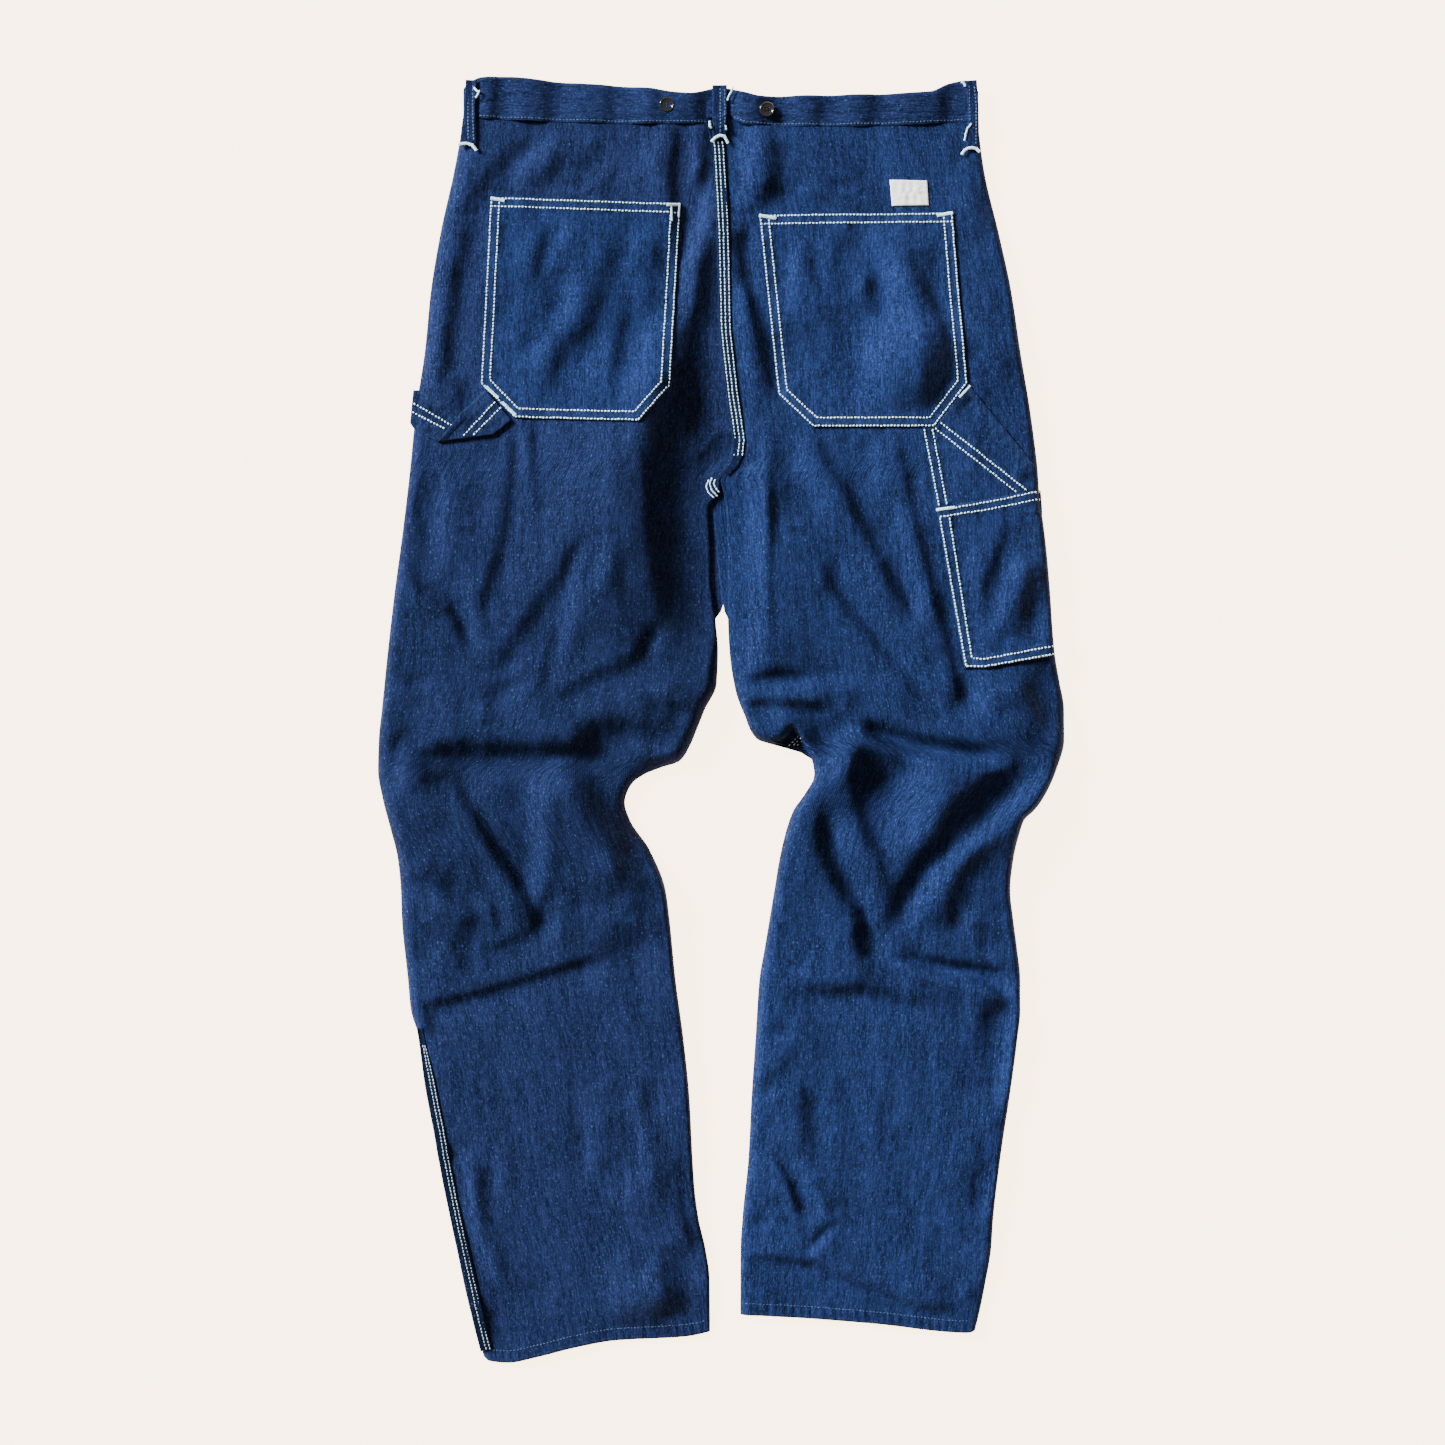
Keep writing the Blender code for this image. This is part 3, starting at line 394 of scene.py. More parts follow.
    (-0.2, 5, ((34, -464), (46, -485), (50, -506))),
    (0.25, 6, ((200, -474), (203, -498))),
    (-0.18, 5, ((221, -462), (214, -490), (204, -504))),
    (-0.1, 6, ((176, -428), (200, -440), (220, -440))),
)

# Sewn patches, corners in order (x, y)
BACK_POCKET_LEFT = (
    (-196.4, 444.1), (-34.4, 438.2), (-42.9, 281.8), (-69.3, 251.2), (-175.5, 255.4),
    (-204.4, 284.8),
)
BACK_POCKET_RIGHT = (
    (31.5, 428.8), (196.4, 430.5), (208.7, 284.8), (180.6, 247.8), (77.8, 248.1), (48, 276.3),
)
TOOL_POCKET_UPPER = (
    (170.6, 248.2), (207.5, 286.4), (269, 211.5), (283, 54.5), (224, 43.6), (206.2, 43.6),
)
TOOL_POCKET_LOWER = (
    (182.2, 179), (271.2, 194.8), (283.2, 54.3), (224, 43.2), (205.8, 43.2),
)
HAMMER_OUTER = (
    (-261.8, 279.6), (-257, 279.6), (-215, 257), (-231, 240.5), (-240.6, 235.2),
    (-260.8, 246.6), (-264.4, 251.5),
)
HAMMER_INNER = ((-240.6, 235.2), (-220.9, 259.9), (-200.2, 279.2), (-177.8, 253.6), (-192.9, 241.3))
LABEL = ((142.8, 458.2), (174.6, 457.4), (176.0, 436.6), (144.8, 436.0))

# Thread
THREAD_PITCH = 2.9
THREAD_LENGTH = 2.05
THREAD_WIDTH = 1.4
ROW_APART = 6.8

# Camera: the photograph's frame is FRAME_WIDTH wide where the garment lies
FRAME_WIDTH = 1228.25
CAMERA_HEIGHT = 2400.0
GARMENT_MIDDLE_Z = 8.0
CAMERA_X = 0.85
CAMERA_Y = -2.55
SENSOR = 36.0


def smooth(table, at):
    """Monotone cubic curve through the rows (position, value) of a table."""
    rows = sorted(table)
    place = np.array([row[0] for row in rows])
    value = np.array([row[1] for row in rows])
    step = np.diff(place)
    slope = np.diff(value) / step
    tangent = np.zeros(len(rows))
    tangent[0] = slope[0]
    tangent[-1] = slope[-1]
    for i in range(1, len(rows) - 1):
        if slope[i - 1] * slope[i] > 0.0:
            before = 2.0 * step[i] + step[i - 1]
            after = step[i] + 2.0 * step[i - 1]
            tangent[i] = (before + after) / (before / slope[i - 1] + after / slope[i])
    at = np.clip(np.asarray(at, dtype=float), place[0], place[-1])
    i = np.clip(np.searchsorted(place, at) - 1, 0, len(step) - 1)
    t = (at - place[i]) / step[i]
    return (
        (1.0 + 2.0 * t) * (1.0 - t) ** 2 * value[i]
        + t * (1.0 - t) ** 2 * step[i] * tangent[i]
        + t * t * (3.0 - 2.0 * t) * value[i + 1]
        + t * t * (t - 1.0) * step[i] * tangent[i + 1]
    )


def ease(t):
    t = np.clip(t, 0.0, 1.0)
    return t * t * (3.0 - 2.0 * t)


def bell(distance, reach):
    """1 at distance 0, and about a third at the reach."""
    return np.exp(-((distance / reach) ** 2))


def quarter_round(inside):
    """0 at an edge and 1 from a distance of 1 on, as a quarter of a circle."""
    return np.sqrt(1.0 - (1.0 - np.clip(inside, 0.0, 1.0)) ** 2)


def arrays(*values):
    return [np.asarray(value, dtype=float) for value in values]


def along_path(x, y, path):
    """Distance from a path, side of it (positive on its left), place along it, its length."""
    nearest = np.full(x.shape, 1.0e9)
    side = np.zeros_like(x)
    along = np.zeros_like(x)
    walked = 0.0
    for (x0, y0), (x1, y1) in zip(path[:-1], path[1:]):
        length = math.hypot(x1 - x0, y1 - y0)
        ux = (x1 - x0) / length
        uy = (y1 - y0) / length
        s = np.clip((x - x0) * ux + (y - y0) * uy, 0.0, length)
        away = np.hypot(x - x0 - s * ux, y - y0 - s * uy)
        closer = away < nearest
        nearest = np.where(closer, away, nearest)
        side = np.where(closer, ux * (y - y0) - uy * (x - x0), side)
        along = np.where(closer, walked + s, along)
        walked += length
    return nearest, side, along, walked


def stripe_tilt(strength, facing):
    """How steeply the cloth of a stripe rises across it."""
    tilt = TILT_TO_LIGHT * strength
    if strength < 0.0:
        tilt = STEEPEST * math.tanh(TILT_FROM_LIGHT * strength / STEEPEST)
    return tilt / max(LEAST_FACING, abs(facing))


def one_facet(x, y, strength, half_width, path):
    """Height of one stripe: it rises away from the light where it faces the light."""
    half_width = STRIPE_WIDER * half_width
    wide = max(NARROWEST_RETURN * half_width, RETURN_FOR_LENGTH * math.dist(path[0], path[-1]))
    wide = min(WIDEST_RETURN * half_width, wide)
    reach = RETURN_ENDS * wide
    xs, ys = zip(*path)
    close = (x > min(xs) - reach) & (x < max(xs) + reach)
    close &= (y > min(ys) - reach) & (y < max(ys) + reach)
    result = np.zeros_like(x)
    if not close.any():
        return result
    away, side, along, length = along_path(x[close], y[close], path)
    run_x = xs[-1] - xs[0]
    run_y = ys[-1] - ys[0]
    facing = (LIGHT_X * run_y - LIGHT_Y * run_x) / math.hypot(run_x, run_y)
    away = away * np.sign(side) * math.copysign(1.0, facing)
    run_out = RUN_OUT + RUN_OUT_FOR_LENGTH * length + RUN_OUT_FOR_WIDTH * half_width
    fade = ease(np.minimum(along, length - along) / min(0.5 * length, run_out))
    narrow = half_width * (TIP_WIDTH + (1.0 - TIP_WIDTH) * fade)
    step = np.tanh(STEP_SOFTNESS * away / narrow) - np.tanh(STEP_SOFTNESS * away / wide)
    result[close] = STEP_HEIGHT * stripe_tilt(strength, facing) * narrow * fade * step
    return result


def all_facets(facets, x, y):
    height = np.zeros_like(x)
    for strength, half_width, path in facets:
        height += one_facet(x, y, strength, half_width, path)
    return height


def value_noise(x, y, seed):
    """Smooth noise from -1 to 1 on a lattice of unit cells."""
    size = 128
    lattice = np.random.default_rng(seed).uniform(-1.0, 1.0, (size, size))
    i = np.floor(x).astype(int)
    j = np.floor(y).astype(int)
    s = ease(x - i)
    t = ease(y - j)
    i0 = i % size
    i1 = (i + 1) % size
    j0 = j % size
    j1 = (j + 1) % size
    low = lattice[i0, j0] * (1.0 - s) + lattice[i1, j0] * s
    high = lattice[i0, j1] * (1.0 - s) + lattice[i1, j1] * s
    return low * (1.0 - t) + high * t


def cloth_ripple(x, y):
    """Small unevenness of worn denim, longer along the leg than across it."""
    broad = 0.85 * value_noise(x / 36.0, y / 95.0, 15)
    soft = 0.62 * value_noise(x / 17.0, y / 62.0, 11)
    small = 0.34 * value_noise(x / 7.5 + 0.3 * y / 20.0, y / 21.0, 12)
    slant = 0.40 * value_noise((x + 0.7 * y) / 15.0, (y - 0.7 * x) / 44.0, 13)
    fine = 0.12 * value_noise(x / 3.6, y / 5.5, 14)
    return broad + soft + small + slant + fine


# An edge's distance is exact within this reach, to points this far apart along the edge
EXACT_WITHIN = 60.0
EDGE_STEP = 4.0


def edge_distance(table, x, y):
    """Distance from the outline's edge, exact where it is short."""
    across = np.abs(x - smooth(table, y))
    result = across.copy()
    near = across < EXACT_WITHIN
    if near.any():
        ys = np.arange(y[near].min() - 30.0, y[near].max() + 34.0, EDGE_STEP)
        edge = list(zip(smooth(table, ys), ys))
        away, _side, _along, _length = along_path(x[near], y[near], edge)
        result[near] = np.minimum(away, across[near])
    return result


@dataclass(frozen=True)
class Leg:
    name: str
    outer: tuple
    inner: tuple
    hem: tuple
    way: float
    outer_round: tuple
    inner_round: tuple


LEFT = Leg(
    "left", OUTER_LEFT, INNER_LEFT, HEM_LEFT, -1.0,
    ((512, 14), (440, 17), (300, 17), (250, 9), (20, 9), (-60, 13), (-240, 9),
     (-546, 6)),
    ((512, 12), (220, 12), (200, 4), (90, 3), (50, 8), (0, 12), (-110, 10),
     (-150, 3.5), (-523, 3)),
)
RIGHT = Leg(
    "right", OUTER_RIGHT, INNER_RIGHT, HEM_RIGHT, 1.0,
    ((512, 6), (60, 6), (0, 10), (-60, 8), (-200, 5), (-523, 4)),
    ((512, 12), (228, 12), (206, 28), (60, 28), (20, 10), (-523, 9)),
)

# Broad rises: height, middle (x, y), reach across and along
RISES = (
    (4.5, -96, 150, 60, 110),
    (4.5, -132, -60, 32, 44),
)

# Places where the cloth sinks into a fold: share of the height that is lost, softness, corners (x, y)
HOLLOWS = (
    (0.86, 3, ((61.5, -3), (47, -22.5), (46, -42), (82, -42), (77, -30.5))),
    (0.45, 9, ((22, 250), (-4, 246), (-24, 222), (-16, 204), (4, 212), (21, 236))),
)


# Puckers where the hem is sewn: height, distance apart, height above the hem, reach
HEM_PUCKER = 0.38
HEM_PUCKERS_APART = 7.5
HEM_PUCKER_Y = 5.0
HEM_PUCKER_REACH = 5.5

# Cloth flattens softly to the lowest fold, and the back closes over the crotch within this height
FLATTENING = 2.0
CROTCH_CLOSES = 40.0


def hem_puckers(leg, x, y):
    above_hem = y - smooth(leg.hem, x)
    turn = 2.0 * math.pi * (x + 0.25 * y) / HEM_PUCKERS_APART + 3.0 * value_noise(x / 11.0, y / 40.0, 16)
    return HEM_PUCKER * np.sin(turn) * bell(above_hem - HEM_PUCKER_Y, HEM_PUCKER_REACH)


def leg_top(leg, x, y):
    """Height of a back panel's outer side above the floor."""
    x, y = arrays(x, y)
    height = smooth(PUFF, y) + cloth_ripple(x, y) + all_facets(FACETS, x, y)
    for rise, middle_x, middle_y, reach_x, reach_y in RISES:
        height += rise * bell(x - middle_x, reach_x) * bell(y - middle_y, reach_y)
    height = LOWEST_FOLD + np.logaddexp(0.0, (height - LOWEST_FOLD) / FLATTENING) * FLATTENING
    for lost, softness, corners in HOLLOWS:
        inside, _place = outline_distance(corners, x, y)
        height *= 1.0 - lost * ease(inside / softness)
    height += hem_puckers(leg, x, y)
    round_out = quarter_round(edge_distance(leg.outer, x, y) / smooth(leg.outer_round, y))
    round_in = quarter_round(edge_distance(leg.inner, x, y) / smooth(leg.inner_round, y))
    open_legs = ease((LEGS_PART_Y + 10.0 - y) / CROTCH_CLOSES)
    return BACK_BASE + height * round_out * (1.0 - open_legs * (1.0 - round_in))


# Between these heights the rows turn from level to the waist seam's and the hem's line
LEVEL_BELOW_WAIST = 430.0
LEVEL_ABOVE_HEM = -420.0


def row_y(station, x, hem):
    """Y of a row at x: it follows the waist seam at the top and the hem at the end."""
    top = ease((station - LEVEL_BELOW_WAIST) / (WAIST_SEAM_Y - LEVEL_BELOW_WAIST))
    low = ease((LEVEL_ABOVE_HEM - station) / (LEVEL_ABOVE_HEM - HEM_Y))
    to_waist = smooth(WAIST_SEAM, x) - SEAM_GAP - WAIST_SEAM_Y
    return station + top * to_waist + low * (smooth(hem, x) - HEM_Y)


def row_ends(station, leg):
    outer_x = smooth(leg.outer, station)
    inner_x = smooth(leg.inner, station)
    for _ in range(3):
        outer_x = smooth(leg.outer, row_y(station, outer_x, leg.hem))
        inner_x = smooth(leg.inner, row_y(station, inner_x, leg.hem))
    return outer_x, inner_x


def add_mesh(name, points, faces, uvs=None, fade=None, shade=None):
    """A smooth mesh from points in millimetres; uvs are in metres, a pair for each point."""
    mesh = bpy.data.meshes.new(name)
    points = np.asarray(points, dtype=float).reshape(-1, 3) * MM
    mesh.from_pydata(points.tolist(), [], faces if isinstance(faces, list) else faces.tolist())
    mesh.polygons.foreach_set("use_smooth", [True] * len(mesh.polygons))
    corners = np.empty(len(mesh.loops), dtype=np.int32)
    mesh.loops.foreach_get("vertex_index", corners)
    layer = mesh.uv_layers.new(name="UVMap")
    if uvs is None:
        uvs = points[:, :2]
    layer.data.foreach_set("uv", np.asarray(uvs, dtype=float).reshape(-1, 2)[corners].ravel())
    for title, values, default in (("fade", fade, 0.0), ("shade", shade, 1.0)):
        attribute = mesh.attributes.new(title, "FLOAT", "POINT")
        values = np.full(len(points), default) if values is None else np.asarray(values, dtype=float).ravel()
        attribute.data.foreach_set("value", values)
    mesh.update()
    obj = bpy.data.objects.new(name, mesh)
    bpy.context.scene.collection.objects.link(obj)
    return obj


def grid_quads(rows, columns):
    index = np.arange(rows * columns).reshape(rows, columns)
    return np.stack(
        [index[:-1, :-1], index[1:, :-1], index[1:, 1:], index[:-1, 1:]], axis=-1
    ).reshape(-1, 4)


def finish_piece(obj, material):
    obj.data.materials.append(material)
    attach(obj, "root")
    return obj


# Materials

SPECK = (0.050, 0.085, 0.200)
WORN = (0.034, 0.056, 0.120)


class Nodes:
    """Short calls for building a material's nodes."""

    def __init__(self, name):
        self.material = bpy.data.materials.new(name)
        self.material.use_nodes = True
        self.tree = self.material.node_tree
        self.shader = self.tree.nodes["Principled BSDF"]

    def add(self, kind, **inputs):
        node = self.tree.nodes.new(kind)
        self.feed_all(node, inputs)
        return node

    def feed(self, node, socket, value):
        target = node.inputs[socket]
        if isinstance(value, bpy.types.NodeSocket):
            self.tree.links.new(value, target)
        elif target.type == "RGBA":
            target.default_value = (*value, 1.0)
        else:
            target.default_value = value

    def feed_all(self, node, inputs):
        for key, value in inputs.items():
            self.feed(node, key.replace("_", " "), value)

    def surface(self, **inputs):
        """Sets the shader's own inputs."""
        self.feed_all(self.shader, inputs)

    def place(self):
        """The cloth's flat layout."""
        node = self.add("ShaderNodeUVMap")
        node.uv_map = "UVMap"
        return node.outputs["UV"]

    def attribute(self, name):
        node = self.add("ShaderNodeAttribute")
        node.attribute_name = name
        return node.outputs["Fac"]

    def noise(self, vector, scale, detail=2.0, roughness=0.5, stretch=1.0):
        """Noise, drawn out along the cloth's length where stretch is under 1."""
        if stretch != 1.0:
            vector = self.add("ShaderNodeMapping", Scale=(1.0, stretch, 1.0), Vector=vector).outputs["Vector"]
        node = self.add("ShaderNodeTexNoise", Scale=scale, Detail=detail, Roughness=roughness, Vector=vector)
        return node.outputs["Fac"]

    def ramp(self, value, low, high, start=0.0, end=1.0):
        node = self.add("ShaderNodeMapRange")
        node.interpolation_type = "SMOOTHSTEP"
        for socket, number in enumerate((value, low, high, start, end)):
            self.feed(node, socket, number)
        return node.outputs["Result"]

    def math(self, operation, a, b):
        node = self.tree.nodes.new("ShaderNodeMath")
        node.operation = operation
        self.feed(node, 0, a)
        self.feed(node, 1, b)
        return node.outputs["Value"]

    def weighted(self, *parts):
        """Sum of values, each times its share."""
        total = None
        for value, share in parts:
            part = self.math("MULTIPLY", value, share)
            total = part if total is None else self.math("ADD", total, part)
        return total

    def mix(self, factor, a, b):
        node = self.tree.nodes.new("ShaderNodeMix")
        node.data_type = "RGBA"
        self.feed(node, 0, factor)
        self.feed(node, 6, a)
        self.feed(node, 7, b)
        return node.outputs[2]

    def bump(self, height, strength, distance):
        node = self.add("ShaderNodeBump", Strength=strength, Distance=distance, Height=height)
        self.surface(Normal=node.outputs["Normal"])


def denim_material(name, dark, bright):
    """Indigo twill: warp streaks, slubs, pale specks and a fine diagonal rib."""
    nodes = Nodes(name)
    place = nodes.place()
    streaks = nodes.noise(place, 800.0, 2.0, 0.6, 0.16)
    grain = nodes.noise(place, 760.0, 2.0, 0.6, 0.6)
    slubs = nodes.noise(place, 270.0, 3.0, 0.6, 0.10)
    mottle = nodes.noise(place, 110.0, 3.0, 0.6)
    clouds = nodes.noise(place, 24.0, 2.0, 0.5, 0.5)
    specks = nodes.noise(place, 640.0, 1.0, 0.5, 0.6)
    wave = nodes.add("ShaderNodeTexWave", Scale=330.0, Distortion=1.2, Detail=1.0, Vector=place)
    wave.bands_direction = "DIAGONAL"
    rib = wave.outputs["Fac"]

    fine = nodes.ramp(nodes.weighted((streaks, 0.55), (grain, 0.45)), 0.405, 0.67)
    soft = nodes.ramp(nodes.weighted((slubs, 0.56), (mottle, 0.14), (clouds, 0.30)), 0.38, 0.62)
    tone = nodes.weighted((fine, 0.68), (soft, 0.32), (rib, 0.06))
    # The shade attribute scales the tone: it carries painted shade on the thighs and knees, and on the seat
    # seam and outseam strips.
    color = nodes.mix(nodes.math("MULTIPLY", tone, nodes.attribute("shade")), dark, bright)
    worn = nodes.math("MULTIPLY", nodes.attribute("fade"), nodes.ramp(mottle, 0.3, 0.7, 0.35, 1.0))
    color = nodes.mix(worn, color, WORN)
    color = nodes.mix(nodes.ramp(specks, 0.60, 0.82, 0.0, 0.7), color, SPECK)
    rough = nodes.ramp(streaks, 0.2, 0.8, 0.82, 0.96)
    nodes.surface(Base_Color=color, Roughness=rough, Specular_IOR_Level=0.03)
    nodes.bump(nodes.weighted((streaks, 0.6), (slubs, 0.5), (rib, 0.25), (mottle, 0.5)), 0.6, 0.0009)
    return nodes.material


def thread_material(name, color, shade):
    """Twisted cotton thread."""
    nodes = Nodes(name)
    place = nodes.add("ShaderNodeTexCoord").outputs["Object"]
    fibre = nodes.noise(place, 2600.0, 2.0, 0.6)
    patches = nodes.noise(place, 160.0)
    both = nodes.math("MULTIPLY", fibre, nodes.ramp(patches, 0.3, 0.7, 0.7, 1.1))
    mixed = nodes.mix(nodes.ramp(both, 0.25, 0.6), shade, color)
    nodes.surface(Base_Color=mixed, Roughness=0.7, Specular_IOR_Level=0.3)
    nodes.bump(fibre, 0.4, 0.0003)
    return nodes.material


def gloss_material():
    nodes = Nodes("glossy_black")
    place = nodes.add("ShaderNodeTexCoord").outputs["Object"]
    cloud = nodes.noise(place, 400.0)
    color = nodes.mix(cloud, (0.006, 0.006, 0.008), (0.014, 0.014, 0.018))
    rough = nodes.ramp(cloud, 0.3, 0.7, 0.10, 0.2)
    nodes.surface(Base_Color=color, Roughness=rough, Coat_Weight=0.12, Coat_Roughness=0.06)
    return nodes.material


def label_material():
    """Pale woven cloth, blank."""
    nodes = Nodes("label_weave")
    place = nodes.place()
    weave = nodes.noise(place, 2400.0, 2.0, 0.6, 0.4)
    mottle = nodes.noise(place, 300.0)
    both = nodes.weighted((weave, 0.6), (mottle, 0.4))
    color = nodes.mix(nodes.ramp(both, 0.3, 0.7), (1.0, 0.87, 0.84), (1.0, 0.95, 0.93))
    nodes.surface(Base_Color=color, Roughness=0.85, Sheen_Weight=0.3)
    nodes.bump(both, 0.3, 0.0003)
    return nodes.material


DENIM = denim_material("indigo_left", (0.0026, 0.0052, 0.0156), (0.0194, 0.0302, 0.1030))
RIGHT_DENIM = denim_material("indigo_right", (0.0026, 0.0054, 0.0166), (0.0188, 0.0326, 0.1150))
POCKET_DENIM = denim_material("indigo_pocket", (0.0026, 0.0056, 0.0172), (0.0194, 0.0345, 0.1240))
RIGHT_POCKET_DENIM = denim_material("indigo_right_pocket", (0.0028, 0.0060, 0.0184), (0.0225, 0.0392, 0.1400))
STRAP_DENIM = denim_material("indigo_strap", (0.0023, 0.0046, 0.0150), (0.0172, 0.0262, 0.0920))
WHITE_THREAD = thread_material("white_thread", (0.74, 0.94, 1.0), (0.58, 0.80, 1.0))
# A darker copy of the white thread, for stitches that lie in shade: painted shade.
DIM_THREAD = thread_material("shaded_thread", (0.58, 0.68, 0.74), (0.38, 0.45, 0.50))
BLUE_THREAD = thread_material("blue_thread", (0.055, 0.092, 0.180), (0.022, 0.042, 0.092))
GLOSS_BLACK = gloss_material()
LABEL_CLOTH = label_material()


# Cloth pieces


# Grid of a panel: distances of the columns beside an edge, columns between them, rows
EDGE_OFFSETS = (0.0, 0.3, 0.9, 1.9, 3.2, 5.0, 7.0, 9.3, 11.6)
MIDDLE_POINTS = 104
BACK_ROW_STEP = 2.0
FRONT_ROW_STEP = 6.0
FRONT_SHARES = np.concatenate([[0.0, 0.004], np.linspace(0.02, 0.98, 36), [0.996, 1.0]])

# Turned edges: height of the turn above the floor, how far the cloth goes under
TURN_Z = 0.7
OUTER_TURN = 6.0
INNER_TURN = 5.0
HEM_TURN = 12.0
HEM_LOWEST = 0.6
TURNED_EDGES = ((0, 3), (2, 2))


def back_columns(_leg, _station, outer_x, inner_x):
    """X of a row's points on a back panel, close together beside its edges."""
    way = math.copysign(1.0, inner_x - outer_x)
    first = [outer_x + way * offset for offset in EDGE_OFFSETS]
    last = [inner_x - way * offset for offset in reversed(EDGE_OFFSETS)]
    middle = np.linspace(first[-1], last[0], MIDDLE_POINTS + 2)[1:-1]
    return np.concatenate([first, middle, last])


def front_columns(leg, station, outer_x, inner_x):
    """X of a row's points on a front panel, which meets the other one above the crotch."""
    start = outer_x - leg.way * 0.3
    own = inner_x + leg.way * 0.6
    shared = float(smooth(SEAT_SEAM, station))
    end = own + (shared - own) * float(ease((station - 84.0) / 12.0))
    return start + (end - start) * FRONT_SHARES


def panel_grid(leg, row_step, columns):
    """Rows of a panel from the waist seam to the hem: their stations, and x and y of their points."""
    stations = np.arange(WAIST_SEAM_Y, HEM_Y - 0.1, -row_step)
    rows_x = []
    rows_y = []
    for station in stations:
        outer_x, inner_x = row_ends(station, leg)
        x = columns(leg, station, float(outer_x), float(inner_x))
        rows_x.append(x)
        rows_y.append(row_y(station, x, leg.hem))
    return stations, np.array(rows_x), np.array(rows_y)


def turn_sides(leg, wall, stations):
    """Turns a back panel under at its outer edge, and at its inner edge below the crotch."""
    side = wall[:, :1].copy()
    side[..., 0] -= leg.way * 0.1
    side[..., 2] = TURN_Z
    tuck = side.copy()
    tuck[..., 0] -= leg.way * OUTER_TURN
    open_row = stations < LEGS_PART_Y
    inner_side = wall[:, -1:].copy()
    inner_side[open_row, 0, 2] = TURN_Z
    inner_tuck = inner_side.copy()
    inner_tuck[open_row, 0, 0] += leg.way * INNER_TURN
    for edge in (inner_side, inner_tuck):
        edge[~open_row, 0, 2] -= CLOTH
    return np.concatenate([tuck, side, wall, inner_side, inner_tuck], axis=1)


def turn_hem(wall):
    """Turns a back panel under at its hem."""
    rows = []
    for shift, down in ((-0.35, 0.6), (0.0, CLOTH), (HEM_TURN, CLOTH)):
        row = wall[-1:].copy()
        row[..., 1] += shift
        row[..., 2] = np.maximum(row[..., 2] - down, HEM_LOWEST)
        rows.append(row)
    return np.concatenate([wall, *rows], axis=0)


def back_layout(x, y):
    """Flat place of a back panel's points, with its turned edges laid out."""
    u = np.pad(x - (x[:, :1] + x[:, -1:]) / 2.0, TURNED_EDGES, mode="edge")
    u[:, :2] -= (6.0, 1.0)
    u[:, -2:] += (1.0, 6.0)
    v = np.pad(y, TURNED_EDGES, mode="edge")
    v[-3:] -= ((1.0,), (2.0,), (12.0,))
    return u, v


def back_paling(leg, x, y):
    """Pale wear along the hem, and paler cloth on the right panel's edge where the seat seam turns."""
    fade = 0.5 * bell(y - smooth(leg.hem, x), 1.6)
    if leg is RIGHT:
        fade[:, -2:] += 0.7 * bell(y[:, -2:] - 211.0, 9.0)
    return fade


def make_back_panel(leg, material):
    """The back of one leg as one sheet, turned under at its sides and its hem."""
    stations, x, y = panel_grid(leg, BACK_ROW_STEP, back_columns)
    z = leg_top(leg, x, y)
    x[:, -1] += leg.way * np.where(stations > LEGS_PART_Y, SEAM_GAP, LEGS_APART) / 2.0
    wave = np.sin(x * 2.0 * math.pi / 7.0 + 2.0 * value_noise(x / 9.0, y / 30.0, 21))
    z += 0.25 * wave * bell(y - smooth(leg.hem, x) - 6.0, 7.0)
    wall = turn_hem(turn_sides(leg, np.stack([x, y, z], axis=-1), stations))
    u, v = back_layout(x, y)
    fade = np.pad(back_paling(leg, x, y), TURNED_EDGES, mode="edge")
    quads = grid_quads(*wall.shape[:2])
    if leg is RIGHT:
        quads = quads[:, ::-1]
    uvs = np.stack([u, v], axis=-1) * MM
    # The tone along the leg, with its painted shade on the thighs and knees, goes into the shade attribute.
    obj = add_mesh(f"{leg.name}_back_cloth", wall, quads, uvs, fade, smooth(TONE_AND_PAINTED_SHADE[leg.name], v))
    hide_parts(f"back_{leg.name}")
    return finish_piece(obj, material)


FLY_COLUMNS = 18
FLY_ROWS = 60
FLY_ROUND = 40.0


def make_fly(material):
    """The flap behind the front opening, flat between the front panels and the back."""
    low, high = np.array(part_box("fly")) / MM
    xs = np.linspace(low[0], high[0], FLY_COLUMNS)
    ys = np.linspace(high[1], low[1], FLY_ROWS)
    x, y = np.meshgrid(xs, ys)
    full = np.sqrt(np.clip(1.0 - ((ys[-1] + FLY_ROUND - y) / FLY_ROUND), 0.0, 1.0))
    x = xs[-1] + (x - xs[-1]) * (0.35 + 0.65 * full)
    z = low[2] + 0.6 + 0.15 * value_noise(x / 12.0, y / 30.0, 77)
    obj = add_mesh("fly_cloth", np.stack([x, y, z], axis=-1), grid_quads(FLY_ROWS, FLY_COLUMNS))
    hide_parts("fly")
    return finish_piece(obj, material)


def closed_faces(rows, columns, flipped):
    """Faces of two grids of the same size, one over the other, and of the edges that join them."""
    count = rows * columns
    quads = grid_quads(rows, columns)
    if flipped:
        quads = quads[:, ::-1]
    faces = quads.tolist() + (quads[:, ::-1] + count).tolist()
    index = np.arange(count).reshape(rows, columns)
    for edge in (index[-1], index[0], index[:, 0], index[:, -1]):
        for a, b in zip(edge[:-1].tolist(), edge[1:].tolist()):
            faces.append([a, b, b + count, a + count])
    return faces


